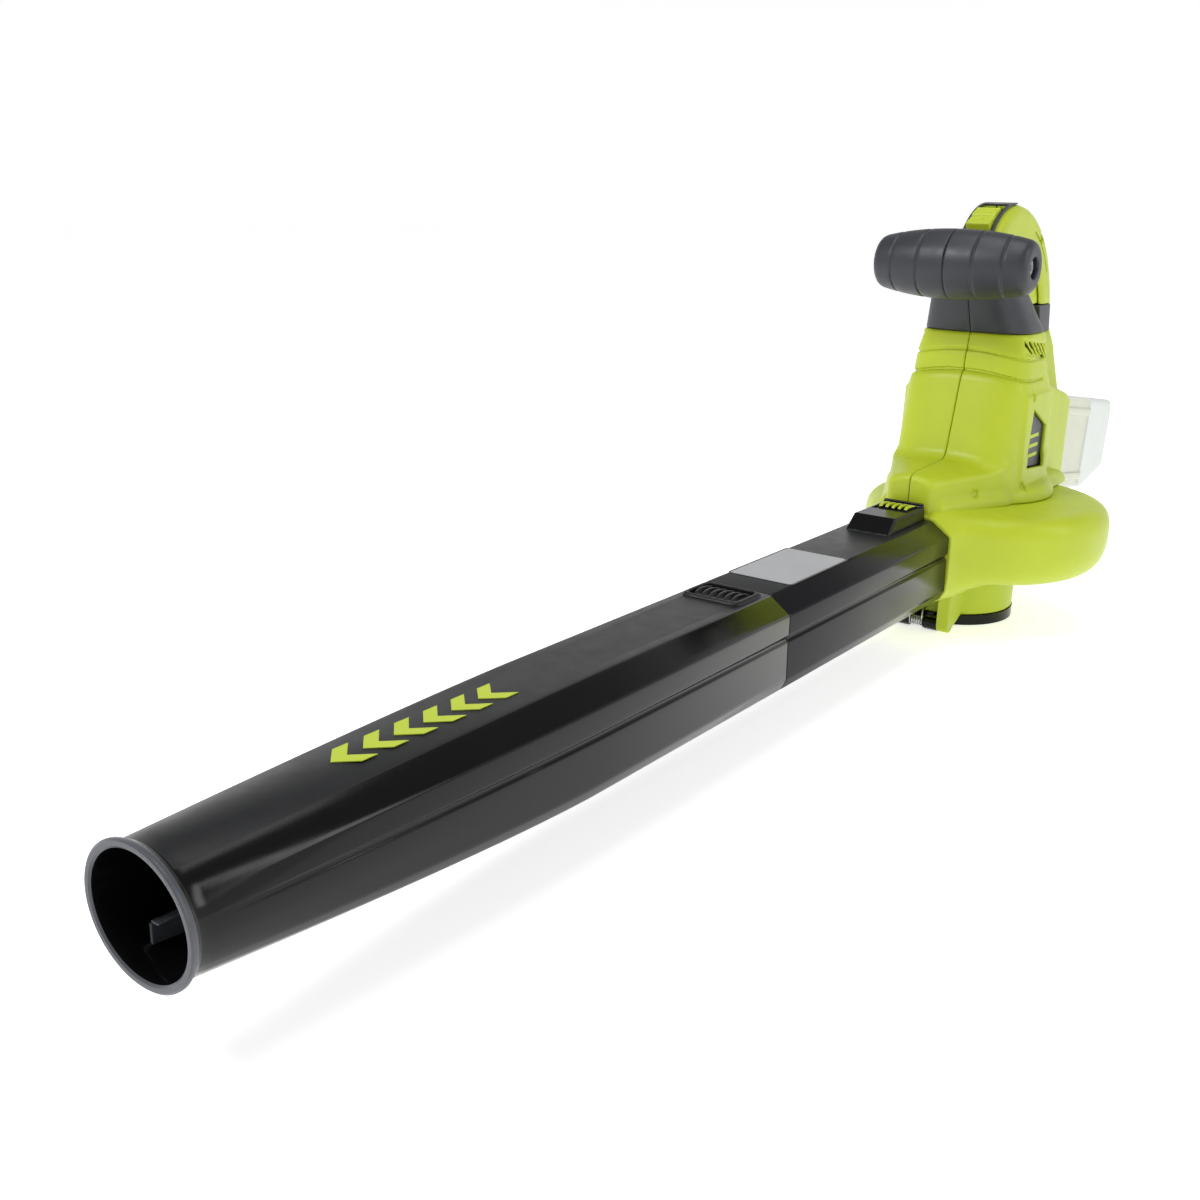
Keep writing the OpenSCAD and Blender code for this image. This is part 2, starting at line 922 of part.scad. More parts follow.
module speed_switch() {
  color(green)
    slide_frame()
      side_bar(slide_w, [[-17, -3], [7, -3], [7, 4.6], [5, 5.4], [3, 4.6], [1, 5.4], [-1, 4.6],
        [-3, 5.4], [-5, 4.6], [-6, 3], [-8, 3.8], [-10, 3], [-12, 3.8], [-14, 3], [-16, 3.6], [-17, 2.6]]);
}

module upper_tube() {
  color(black)
    difference() {
      union() {
        duct_run(root_y - gap, upper_len - gap, 0);
        duct_run(joint_y + 2, sleeve_len + 2, tube_wall + gap);
        side_bar(block_w, [[root_y - 2, tube_z + tube_h / 2 - 1], [root_y - 2, tube_z + tube_h / 2 + block_h],
          [root_y - block_len + block_slope, tube_z + tube_h / 2 + block_h],
          [root_y - block_len, tube_z + tube_h / 2 - 1]]);
        translate([-15, root_y - 5.5, tube_z + tube_h / 2 + block_h - 1])
          cube([30, 3, 3]);
      }
      difference() {
        duct_run(root_y + 1, upper_len + sleeve_len + 8, tube_wall);
        duct_run(joint_y + 2, sleeve_len + 4, tube_wall - 1);
      }
      duct_run(joint_y + 12, sleeve_len + 20, 2 * tube_wall + gap);
      for (s = [-1, 1])
        translate([s * tube_b - 0.8, joint_y - 1, tube_z + 7])
          cube([1.6, upper_len + 2, 1.6]);
      translate([-latch_w / 2 - 0.4, latch_y - latch_len / 2 - 0.4, tube_z + tube_h / 2])
        cube([latch_w + 0.8, latch_len + 0.8, 20]);
      translate([-20, joint_y - sleeve_len - 5, tube_z + tube_h / 2 - 3 * tube_wall])
        cube([40, sleeve_len - 1, 3 * tube_wall]);
    }
}

module tube_label() {
  color([0.62, 0.64, 0.66])
    translate([-21.5, root_y - 210, tube_z + tube_h / 2 + tiny])
      cube([43, 74, 0.4]);
}

module tube_latch() {
  z = tube_z + tube_h / 2;
  color(green)
    difference() {
      union() {
        translate([-latch_w / 2, latch_y - latch_len / 2, z + 3])
          cube([latch_w, latch_len, block_h - 2.4]);
        for (i = [0 : 4])
          translate([-latch_w / 2 + 2 + i * 4.6, latch_y - latch_len / 2 + 3, z + block_h])
            cube([2.6, latch_len - 6, 2.4]);
      }
      translate([0, latch_y, z])
        cylinder(r = 4.4, h = 8);
    }
}

module tube_latch_spring() {
  color(steel)
    translate([0, latch_y, tube_z + tube_h / 2 + 0.5])
      coil(3, 0.45, 6.8, 4);
}

module mouth_slab(inset, y, t) {
  translate([0, y, mouth_z])
    rotate([90, 0, 0])
      scale([1, (mouth_h / 2 - inset) / (mouth_w / 2 - inset), 1])
        cylinder(r = mouth_w / 2 - inset, h = t, $fn = hull_fn);
}

module lower_tube() {
  y0 = joint_y - gap;
  color(black)
    difference() {
      union() {
        duct_run(y0, straight_len, 0);
        hull() {
          duct_run(y0 - straight_len + 1, 1, 0);
          mouth_slab(0, mouth_y + 3, 1);
        }
        translate([0, mouth_y + 4, mouth_z])
          rotate([90, 0, 0])
            scale([1, (mouth_h / 2 + lip_out) / (mouth_w / 2 + lip_out), 1])
              cylinder(r = mouth_w / 2 + lip_out, h = 4);
        translate([-19, joint_latch_y - 15, tube_z + tube_h / 2 - 1])
          cube([38, 30, 2.2]);
      }
      duct_run(y0 + 1, straight_len + 1, tube_wall);
      hull() {
        duct_run(y0 - straight_len + 1, 1, tube_wall);
        mouth_slab(tube_wall, mouth_y + 3, 1);
      }
      translate([0, mouth_y + 6, mouth_z])
        rotate([90, 0, 0])
          scale([1, (mouth_h / 2 - tube_wall) / (mouth_w / 2 - tube_wall), 1])
            cylinder(r = mouth_w / 2 - tube_wall, h = 10);
      for (s = [-1, 1])
        translate([s * tube_b - 0.8, y0 - straight_len, tube_z + 7])
          cube([1.6, straight_len + 2, 1.6]);
      translate([-16.4, joint_latch_y - 12.4, tube_z])
        cube([32.8, 24.8, tube_h]);
    }
  color(black)
    for (x = [-15, 9])
      translate([x, mouth_y + 12, mouth_z - mouth_h / 2 + 3.2])
        union() {
          cube([1.4, 40, 12]);
          translate([0, 0, 10.6])
            cube([5, 40, 1.4]);
        }
}

module tube_decal() {
  z = tube_z + tube_h / 2 + tiny;
  color(green)
    for (i = [0 : 5])
      translate([0, mouth_y + 94 + i * 18, z])
        linear_extrude(0.35)
          polygon([[-9, 9], [0, 0], [9, 9], [9, 18], [0, 9], [-9, 18]]);
}

module joint_latch() {
  z = tube_z + tube_h / 2;
  color(black)
    union() {
      translate([-16, joint_latch_y - 12, z - tube_wall + 0.1])
        cube([32, 24, tube_wall + 0.6]);
      for (i = [0 : 5])
        translate([-13 + i * 4.7, joint_latch_y - 9, z + 0.5])
          cube([2.4, 18, 1.8]);
    }
}

module control_board() {
  color(board_green)
    union() {
      translate([-24, -6, belt_z - 22])
        cube([48, 44, 1.6]);
      for (x = [-16, 4])
        translate([x, 4, belt_z - 20.5])
          cube([12, 10, 6]);
      translate([-4, 26, belt_z - 20.5])
        cylinder(r = 5, h = 12);
    }
}

module lead(x) {
  translate([x, 46, bay_z + 6])
    cylinder(r = 1.7, h = belt_z - bay_z - 12);
  translate([x, 46, bay_z + 6])
    sphere(r = 1.7);
  translate([x, 46, bay_z + 6])
    rotate([-90, 0, 0])
      cylinder(r = 1.7, h = 9);
}

module wire_red() {
  color([0.7, 0.08, 0.08])
    lead(9);
}

module wire_black() {
  color(black)
    lead(-9);
}

module battery_terminals() {
  color(dark)
    pack_frame()
      union() {
        translate([-26, -pack_in - 14, -18])
          cube([52, 5, 36]);
        for (x = [-18, -6, 6, 18])
          translate([x - 0.6, -pack_in - 10, -8])
            cube([1.2, 7, 16]);
      }
}

cell_r = 9.1;
cell_len = min(65, pack_w - 6);
cells_low = floor((pack_out * 0.6 - 10) / 19);
cells_high = floor((pack_out - 22) / 19);
pack_points = [[-pack_in, -pack_h * 0.26], [-2, -pack_h * 0.26], [-2, -pack_h / 2],
  [pack_out * 0.6, -pack_h / 2], [pack_out, -pack_h * 0.27],
  [pack_out, pack_h / 2 - 8], [pack_out - 5, pack_h / 2],
  [-pack_in, pack_h / 2]];
pack_room = [[-pack_in + 2.5, 2.5 - pack_h * 0.26], [0.5, 2.5 - pack_h * 0.26],
  [0.5, -pack_h / 2 + 2.5], [pack_out * 0.6 - 1, -pack_h / 2 + 2.5],
  [pack_out - 2.5, -pack_h * 0.27 + 2], [pack_out - 2.5, pack_h / 2 - 9],
  [pack_out - 7, pack_h / 2 - 2.5], [-pack_in + 2.5, pack_h / 2 - 2.5]];

module battery_case() {
  color(frosted)
    pack_frame()
      difference() {
        union() {
          side_bar(pack_w, pack_points);
          for (s = [-1, 1])
            for (z = [-pack_h * 0.36, pack_h * 0.34])
              translate([s * pack_w / 2, 7, z])
                union() {
                  translate([-1, 0, -3])
                    cube([2, pack_out * 0.48, 6]);
                  translate([-1, pack_out * 0.48, 0])
                    rotate([0, 90, 0])
                      cylinder(r = 3, h = 2);
                }
        }
        side_bar(pack_w - 5, pack_room);
        translate([-10.4, 8 - 7.4, pack_h / 2 - 4])
          cube([20.8, 14.8, 6]);
      }
}

module battery_cells() {
  color([0.25, 0.45, 0.75])
    pack_frame()
      for (row = [-1 : 1])
        for (i = [0 : (row < 0 ? cells_low : cells_high) - 1])
          translate([-cell_len / 2, 15 + i * 19, row * 19 - 1.5])
            rotate([0, 90, 0])
              cylinder(r = cell_r, h = cell_len);
}

module battery_latch() {
  color(frosted)
    pack_frame()
      union() {
        translate([-10, 8 - 7, pack_h / 2 - 1.8])
          cube([20, 14, 4]);
        for (i = [0 : 2])
          translate([-7, 4 + i * 3.4, pack_h / 2 + 2])
            cube([14, 1.4, 1]);
      }
}

module battery_latch_spring() {
  color(steel)
    pack_frame()
      translate([0, 8, pack_h / 2 - 6.6])
        coil(3, 0.4, 4.4, 3);
}

housing_left();
housing_right();
volute();
drum_floor();
motor_mount();
mount_screws();
housing_screws();
side_badge();
front_grip_left();
front_grip_right();
grip_bolt();
grip_nut();
rear_grip_pad();
trigger();
trigger_pin();
trigger_spring();
power_switch();
switch_bezel();
speed_switch();
upper_tube();
tube_label();
tube_latch();
tube_latch_spring();
lower_tube();
tube_decal();
joint_latch();
inlet_cover();
hinge_pin();
hinge_spring();
cover_latch();
cover_latch_spring();
safety_switch();
impeller();
impeller_nut();
motor_shaft();
armature();
commutator();
motor_can();
end_bell();
magnets();
brushes();
bearings();
motor_screws();
control_board();
wire_red();
wire_black();
battery_case();
battery_cells();
battery_latch();
battery_latch_spring();
battery_terminals();
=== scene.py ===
"""Looks of a cordless leaf blower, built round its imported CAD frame. Shapes here are in millimetres."""
import json
import math

import bmesh
import bpy
import numpy as np
import openvdb
from mathutils import Matrix, Vector


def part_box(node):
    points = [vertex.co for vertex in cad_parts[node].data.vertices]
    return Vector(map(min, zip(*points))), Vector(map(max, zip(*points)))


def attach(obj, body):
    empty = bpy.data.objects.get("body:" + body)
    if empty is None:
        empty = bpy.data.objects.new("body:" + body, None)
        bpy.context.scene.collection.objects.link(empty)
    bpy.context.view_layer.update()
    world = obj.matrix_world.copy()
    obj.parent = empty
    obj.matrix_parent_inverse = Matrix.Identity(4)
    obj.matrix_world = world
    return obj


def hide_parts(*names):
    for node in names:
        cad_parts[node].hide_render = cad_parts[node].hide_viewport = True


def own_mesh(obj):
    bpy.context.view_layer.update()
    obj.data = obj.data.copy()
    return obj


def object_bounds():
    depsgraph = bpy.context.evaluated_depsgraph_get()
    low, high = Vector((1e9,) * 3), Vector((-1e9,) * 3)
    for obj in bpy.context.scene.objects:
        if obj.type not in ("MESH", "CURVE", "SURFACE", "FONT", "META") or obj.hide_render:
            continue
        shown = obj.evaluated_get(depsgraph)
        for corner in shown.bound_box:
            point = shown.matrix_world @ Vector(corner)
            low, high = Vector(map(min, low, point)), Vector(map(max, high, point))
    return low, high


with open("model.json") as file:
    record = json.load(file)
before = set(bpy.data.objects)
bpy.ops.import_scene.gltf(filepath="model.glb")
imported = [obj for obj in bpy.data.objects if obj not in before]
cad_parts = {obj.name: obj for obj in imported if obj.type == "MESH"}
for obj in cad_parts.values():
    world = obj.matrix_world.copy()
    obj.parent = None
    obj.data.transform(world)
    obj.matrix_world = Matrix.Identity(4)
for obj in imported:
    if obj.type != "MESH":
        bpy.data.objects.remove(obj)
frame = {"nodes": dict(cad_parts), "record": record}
CAD_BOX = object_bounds()
MM = 0.001


def box_mm(node):
    """Lowest and highest corner of a CAD node in millimetres."""
    low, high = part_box(node)
    return np.array(low) / MM, np.array(high) / MM


# ---------------------------------------------------------------- sizes, from the frame and the design
FLOOR_LOW, FLOOR_HIGH = box_mm("drum_floor")
BAR_LOW, BAR_HIGH = box_mm("front_grip_right")
LOWER_LOW, LOWER_HIGH = box_mm("lower_tube")
COVER_LOW, COVER_HIGH = box_mm("inlet_cover")
BLOCK_LATCH_LOW, BLOCK_LATCH_HIGH = box_mm("tube_latch")
WINDOW_LOW, WINDOW_HIGH = box_mm("joint_latch")
LABEL_LOW, LABEL_HIGH = box_mm("tube_label")
SPRING_LOW, SPRING_HIGH = box_mm("tube_latch_spring")

GAP = 0.3
PRESS = 2.4
WALL = 3.0
DRUM_R = (FLOOR_HIGH[0] - FLOOR_LOW[0]) / 2
DRUM_X = FLOOR_HIGH[0] - DRUM_R
DRUM_Y = -3.0
ROOF_Z = box_mm("volute")[1][2]
COLLAR_Z = 8.3
DRUM_Z = COLLAR_Z + 35.7
COLLAR_R = (COVER_HIGH[0] - COVER_LOW[0]) / 2
TUBE_HALF = box_mm("upper_tube")[1][0]
TUBE_TOP = LABEL_LOW[2]
TUBE_H = 64.0
TUBE_Z = TUBE_TOP - TUBE_H / 2
TUBE_WALL = 2.2
ROOT_Y = -(DRUM_R + 15.5)
JOINT_Y = LOWER_HIGH[1] + GAP
MOUTH_Y = LOWER_LOW[1]
COLUMN_Y = 14.0
COLUMN_TOP = ROOF_Z + 125
FOOT_TOP = ROOF_Z + 30
ARCH_TOP = box_mm("housing_right")[1][2]
ARCH_Y = 24.0
ARCH_RX, ARCH_RY = 97.5, 110.0
ARCH_FX, ARCH_FZ = 52.5, ARCH_TOP - 46
HANDLE_W = 34.0
GRIP_LOW, GRIP_TOP = COLUMN_TOP - 7, COLUMN_TOP + 15
TRIGGER_LOW, TRIGGER_Y = GRIP_TOP + 1.5, 84.0
TRIGGER_TOP = TRIGGER_LOW + 40
BAR_HALF = BAR_HIGH[0]
BAR_R, BAR_END_R = 25.0, 18.0
BAR_Y, BAR_Z = BAR_LOW[1] + BAR_R, BAR_HIGH[2] - BAR_R
BAY_Y, BAY_Z = 114.0, ROOF_Z + 26
PACK_W, PACK_H, PACK_OUT, PACK_IN = 74.0, 80.0, 140.0, 38.0
DROOP = math.radians(8)
HINGE_Y, HINGE_Z = -66.0, 5.4
EAR_X, EAR_T = 17.0, 10.0
SLIDE_Y, SLIDE_Z, SLIDE_TILT = -6.0, ARCH_TOP - 9.6, math.radians(24)
BELT_Z = ROOF_Z + 107.5
BADGE_FACE, PROUD = box_mm("side_badge")[1][0], 0.05
MOUTH_HALF, MOUTH_TALL = 30.5, 27.5
MOUNT_R, ROTOR_R = 55.8, 56.5
BOLT_R, PIN_R, SCREW_R = 2.9, 1.6, 3.1
BELT_CROWNS, BELT_DROP, COLUMN_HALF = (195.6, 210.5), 6.0, 43
VENTS, VENT_HALF, VENT_ANGLE = 6, 1.3, math.radians(-45)
BAR_GROOVES, GROOVE_DEPTH, GROOVE_WIDTH, GROOVE_BEND = (-41, -20.5, 20.5, 41), 0.85, 0.75, 0.000032
HOUSING_STEP, GRIP_STEP, PACK_STEP, FINE_STEP, CATCH_STEP, WINDOW_STEP = 0.85, 0.62, 0.8, 0.45, 0.35, 0.4


# ---------------------------------------------------------------- distance fields
class Field:
    """A box of points, with broadcast coordinates, on which signed distances are worked out."""

    def __init__(self, low, high, step):
        self.low, self.step = np.array(low, float), step * 1.0
        axes = [np.arange(a, b + self.step, self.step, dtype=np.float32) for a, b in zip(low, high)]
        self.x = axes[0][:, None, None]
        self.y = axes[1][None, :, None]
        self.z = axes[2][None, None, :]
        self.shape = tuple(len(a) for a in axes)


def soft_max(a, b, k):
    h = np.maximum(k - np.abs(a - b), 0) / k
    return np.maximum(a, b) + h * h * (k / 4)


def soft_min(a, b, k):
    return -soft_max(-a, -b, k)


def rounded_section(x, y, a, b, power=4.2):
    """Distance to a rounded box section with half sizes a and b."""
    u, v = np.abs(x) / a, np.abs(y) / b
    f = (u ** power + v ** power) ** (1 / power) + 1e-6
    slope = f ** (1 - power) * np.sqrt((u ** (power - 1) / a) ** 2 + (v ** (power - 1) / b) ** 2)
    return np.maximum((f - 1) / np.maximum(slope, 4e-3), -24)


def polygon_field(u, v, points):
    """Exact distance to a closed outline."""
    points = np.array(points, float)
    best, inside = None, None
    for p, q in zip(points, np.roll(points, -1, axis=0)):
        e = q - p
        wu, wv = u - p[0], v - p[1]
        t = np.clip((wu * e[0] + wv * e[1]) / max(e @ e, 1e-9), 0, 1)
        d = (wu - e[0] * t) ** 2 + (wv - e[1] * t) ** 2
        best = d if best is None else np.minimum(best, d)
        crossing = ((p[1] <= v) != (q[1] <= v)) & (wu < e[0] * wv / (e[1] if abs(e[1]) > 1e-9 else 1e-9))
        inside = crossing if inside is None else inside ^ crossing
    return (np.sqrt(best) * np.where(inside, -1, 1)).astype(np.float32)


def box_field(x, y, z, centre, half):
    return np.maximum(np.maximum(np.abs(x - centre[0]) - half[0], np.abs(y - centre[1]) - half[1]),
                      np.abs(z - centre[2]) - half[2])


def along_x(field, centre_y, centre_z, radius):
    """Distance to a cylinder that lies along X."""
    return np.sqrt((field.y - centre_y) ** 2 + (field.z - centre_z) ** 2) - radius


def along_z(field, centre_x, centre_y, radius):
    return np.sqrt((field.x - centre_x) ** 2 + (field.y - centre_y) ** 2) - radius


def turned(y, z, centre_y, centre_z, angle):
    """Coordinates in a frame that is turned about X."""
    c, s = math.cos(angle), math.sin(angle)
    return (y - centre_y) * c + (z - centre_z) * s, -(y - centre_y) * s + (z - centre_z) * c


def knots(values, at, to):
    return np.interp(values, at, to).astype(np.float32)


# ---------------------------------------------------------------- meshes
def add_mesh(name, points, faces, body, material, nodes=()):
    """A new piece from points in millimetres that rides on a body and stands for CAD nodes."""
    mesh = bpy.data.meshes.new(name)
    mesh.from_pydata([tuple(p) for p in np.array(points) * MM], [], [tuple(f) for f in faces])
    mesh.validate()
    return place(name, mesh, body, material, nodes)


def place(name, mesh, body, material, nodes=()):
    piece = bpy.data.objects.new(name, mesh)
    bpy.context.scene.collection.objects.link(piece)
    mesh.materials.clear()
    mesh.materials.append(material)
    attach(piece, body)
    if nodes:
        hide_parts(*nodes)
    return piece


def field_piece(name, field, distance, body, material, nodes=(), keep=0.3):
    """Turns the zero surface of a distance field into a smooth piece."""
    step = field.step
    distance = np.clip(np.broadcast_to(distance, field.shape), -3 * step, 3 * step).astype(np.float32)
    grid = openvdb.FloatGrid(3 * step)
    grid.copyFromArray(np.ascontiguousarray(distance), tolerance=0)
    points, quads = grid.convertToQuads(0.0)
    points = points * step + field.low
    a, b, c, d = (points[quads[:, i]] for i in range(4))
    if np.einsum("ij,ij->i", a + c, np.cross(c - a, d - b)).sum() < 0:
        quads = quads[:, ::-1]
    mesh = bpy.data.meshes.new(name)
    mesh.vertices.add(len(points))
    mesh.vertices.foreach_set("co", (points * MM).ravel())
    mesh.loops.add(quads.size)
    mesh.loops.foreach_set("vertex_index", quads.ravel().astype(np.int32))
    mesh.polygons.add(len(quads))
    mesh.polygons.foreach_set("loop_start", np.arange(0, quads.size, 4, dtype=np.int32))
    mesh.update(calc_edges=True)
    mesh.validate()
    mesh.shade_smooth()
    piece = place(name, mesh, body, material, nodes)
    thin = piece.modifiers.new("thin", "DECIMATE")
    thin.ratio = keep
    apply_modifiers(piece)
    piece.data.shade_smooth()
    return piece


def apply_modifiers(piece):
    graph = bpy.context.evaluated_depsgraph_get()
    mesh = bpy.data.meshes.new_from_object(piece.evaluated_get(graph), depsgraph=graph)
    piece.modifiers.clear()
    piece.data = mesh


def bevelled(piece, width, segments=3, angle=28):
    """Rounds a piece's sharp edges and evens out its shading."""
    bevel = piece.modifiers.new("bevel", "BEVEL")
    bevel.width = width * MM
    bevel.segments = segments
    bevel.limit_method = "ANGLE"
    bevel.angle_limit = math.radians(angle)
    bevel.harden_normals = True
    piece.data.shade_smooth()
    apply_modifiers(piece)
    return piece


def softened(node, body, material, width=0.4):
    """A copy of a CAD node with clean faces and rounded edges, which stands for the node."""
    mesh = frame["nodes"][node].data.copy()
    work = bmesh.new()
    work.from_mesh(mesh)
    bmesh.ops.remove_doubles(work, verts=work.verts, dist=1e-6)
    bmesh.ops.dissolve_limit(work, angle_limit=math.radians(1.5), verts=work.verts, edges=work.edges)
    work.to_mesh(mesh)
    work.free()
    if "custom_normal" in mesh.attributes:
        mesh.attributes.remove(mesh.attributes["custom_normal"])
    return bevelled(place(node + "_moulded", mesh, body, material, (node,)), width)


def prism(name, outline, x0, x1, body, material, width):
    """An outline in Y and Z drawn out along X, with rounded edges."""
    n = len(outline)
    points = [(x, y, z) for x in (x0, x1) for y, z in outline]
    faces = [(i, (i + 1) % n, n + (i + 1) % n, n + i) for i in range(n)]
    faces += [tuple(range(n))[::-1], tuple(range(n, 2 * n))]
    piece = add_mesh(name, points, faces, body, material)
    tidy_normals(piece)
    return bevelled(piece, width)


def tidy_normals(piece):
    work = bmesh.new()
    work.from_mesh(piece.data)
    bmesh.ops.recalc_face_normals(work, faces=work.faces)
    work.to_mesh(piece.data)
    work.free()


# ---------------------------------------------------------------- materials
def node_tree(name):
    material = bpy.data.materials.new(name)
    material.use_nodes = True
    tree = material.node_tree
    shader = tree.nodes["Principled BSDF"]
    place_at = tree.nodes.new("ShaderNodeTexCoord").outputs["Object"]
    return material, tree, shader, place_at


def noise(tree, place_at, scale, detail=3.0, roughness=0.55):
    texture = tree.nodes.new("ShaderNodeTexNoise")
    texture.inputs["Scale"].default_value = scale
    texture.inputs["Detail"].default_value = detail
    texture.inputs["Roughness"].default_value = roughness
    tree.links.new(place_at, texture.inputs["Vector"])
    return texture.outputs["Fac"]


def ramp(tree, value, low, high, at=(0.3, 0.7)):
    node = tree.nodes.new("ShaderNodeValToRGB")
    node.color_ramp.elements[0].position, node.color_ramp.elements[1].position = at
    node.color_ramp.elements[0].color = (*low, 1)
    node.color_ramp.elements[1].color = (*high, 1)
    tree.links.new(value, node.inputs["Fac"])
    return node.outputs["Color"]


def span(tree, value, low, high):
    node = tree.nodes.new("ShaderNodeMapRange")
    node.inputs["From Min"].default_value = 0.3
    node.inputs["From Max"].default_value = 0.7
    node.inputs["To Min"].default_value = low
    node.inputs["To Max"].default_value = high
    tree.links.new(value, node.inputs["Value"])
    return node.outputs["Result"]


def mixed(tree, factor, first, second):
    node = tree.nodes.new("ShaderNodeMix")
    node.data_type = "RGBA"
    tree.links.new(factor, node.inputs["Factor"])
    tree.links.new(first, node.inputs["A"])
    node.inputs["B"].default_value = (*second, 1)
    return node.outputs["Result"]


def edge_mask(tree, start, stop):
    """Bright where the surface is an outward edge."""
    pointy = tree.nodes.new("ShaderNodeNewGeometry").outputs["Pointiness"]
    node = tree.nodes.new("ShaderNodeMapRange")
    node.inputs["From Min"].default_value = start
    node.inputs["From Max"].default_value = stop
    tree.links.new(pointy, node.inputs["Value"])
    return node.outputs["Result"]


def moulded(name, colour, shade=0.94, rough=(0.3, 0.4), grain=2600, depth=0.02, specular=0.5, coat=0.0, worn=None,
            subsurface=0.0):
    """A moulded or cast finish: mottled tone, fine surface grain, uneven gloss and brighter worn edges."""
    material, tree, shader, at = node_tree(name)
    dim = tuple(c * shade for c in colour)
    tone = ramp(tree, noise(tree, at, 38, 5), dim, colour)
    worn = worn or tuple(min(1, c * 1.16 + 0.008) for c in colour)
    tone = mixed(tree, edge_mask(tree, 0.53, 0.62), tone, worn)
    tree.links.new(tone, shader.inputs["Base Color"])
    tree.links.new(span(tree, noise(tree, at, 95, 4, 0.6), *rough), shader.inputs["Roughness"])
    bump = tree.nodes.new("ShaderNodeBump")
    bump.inputs["Strength"].default_value = depth * 10
    bump.inputs["Distance"].default_value = 0.0001
    tree.links.new(noise(tree, at, grain, 2), bump.inputs["Height"])
    tree.links.new(bump.outputs["Normal"], shader.inputs["Normal"])
    shader.inputs["Specular IOR Level"].default_value = specular
    shader.inputs["Coat Weight"].default_value = coat
    shader.inputs["Coat Roughness"].default_value = 0.12
    if subsurface:
        shader.inputs["Subsurface Weight"].default_value = subsurface
        shader.inputs["Subsurface Radius"].default_value = (0.006, 0.006, 0.005)
    return material


def brushed(name, colour, stretch):
    """Drawn metal with fine scratches along one way."""
    material, tree, shader, at = node_tree(name)
    mapping = tree.nodes.new("ShaderNodeMapping")
    mapping.inputs["Scale"].default_value = stretch
    tree.links.new(at, mapping.inputs["Vector"])
    lines = noise(tree, mapping.outputs["Vector"], 700, 3)
    tree.links.new(ramp(tree, lines, tuple(c * 0.82 for c in colour), colour), shader.inputs["Base Color"])
    tree.links.new(span(tree, lines, 0.24, 0.42), shader.inputs["Roughness"])
    shader.inputs["Metallic"].default_value = 1.0
    bump = tree.nodes.new("ShaderNodeBump")
    bump.inputs["Strength"].default_value = 0.12
    bump.inputs["Distance"].default_value = 0.00005
    tree.links.new(lines, bump.inputs["Height"])
    tree.links.new(bump.outputs["Normal"], shader.inputs["Normal"])
    return material


FINISH = {
    "green_plastic": moulded("lime plastic", (0.455, 0.545, 0.022), 0.95, (0.34, 0.44), 2400, 0.03, 0.4,
                             subsurface=0.03),
    "dark_plastic": moulded("charcoal plastic", (0.021, 0.024, 0.031), 0.88, (0.36, 0.46), 2200, 0.05, 0.5,
                            worn=(0.09, 0.095, 0.11)),
    "black_plastic": moulded("black plastic", (0.003, 0.003, 0.0035), 0.8, (0.12, 0.17), 3200, 0.01, 0.24,
                             worn=(0.02, 0.021, 0.024)),
    "label_foil": moulded("label foil", (0.33, 0.335, 0.345), 0.96, (0.3, 0.36), 3800, 0.02, 0.5),
    "green_print": moulded("green ink", (0.40, 0.49, 0.022), 0.9, (0.42, 0.52), 3000, 0.02, 0.4),
    "steel": brushed("drawn steel", (0.62, 0.63, 0.65), (1, 1, 0.06)),
    "copper": brushed("lacquered copper", (0.72, 0.36, 0.19), (1, 1, 0.1)),
    "magnet": moulded("ferrite", (0.045, 0.045, 0.05), 0.8, (0.5, 0.65), 1500, 0.08),
    "board": moulded("solder mask", (0.012, 0.11, 0.035), 0.85, (0.2, 0.32), 1200, 0.05, coat=0.3),
    "red_wire": moulded("red sleeve", (0.44, 0.012, 0.012), 0.9, (0.32, 0.42), 1800, 0.03),
    "black_wire": moulded("black sleeve", (0.015, 0.015, 0.016), 0.85, (0.34, 0.44), 1800, 0.03),
    "pack_plastic": moulded("frosted plastic", (0.66, 0.69, 0.66), 0.97, (0.32, 0.42), 2200, 0.03, subsurface=0.25),
    "cell": moulded("cell sleeve", (0.05, 0.18, 0.42), 0.92, (0.22, 0.3), 2000, 0.02),
    "fan_plastic": moulded("filled plastic", (0.02, 0.021, 0.024), 0.75, (0.42, 0.56), 1400, 0.09),
}
SATIN_BLACK = moulded("satin black plastic", (0.007, 0.0075, 0.009), 0.82, (0.33, 0.4), 2600, 0.07, 0.3,
                      worn=(0.03, 0.031, 0.034))
LIP_GREY = moulded("nozzle lip plastic", (0.042, 0.047, 0.056), 0.9, (0.26, 0.34), 2600, 0.05, 0.5,
                   worn=(0.12, 0.125, 0.14))
# Darker yellow-green for the pack's slim sides: painted shade with a green cast from the housing, not a plastic of its
# own.
PACK_SIDE_SHADE = moulded("pack side painted shade", (0.60, 0.62, 0.50), 0.96, (0.34, 0.44), 2200, 0.03, subsurface=0.2)


def dress_frame():
    """Gives every CAD node, hidden or not, the procedural finish of its slot."""
    slots = {s["node"]: s["material_slot"] for s in frame["record"]["subparts"]}
    for node, piece in frame["nodes"].items():
        piece.data.materials.clear()
        piece.data.materials.append(FINISH[slots[node]])


# ---------------------------------------------------------------- motor housing
def arc(cy, cz, ry, rz, start, stop, steps=24):
    angles = np.radians(np.linspace(start, stop, steps + 1))
    return [(cy + ry * math.cos(a), cz + rz * math.sin(a)) for a in angles]


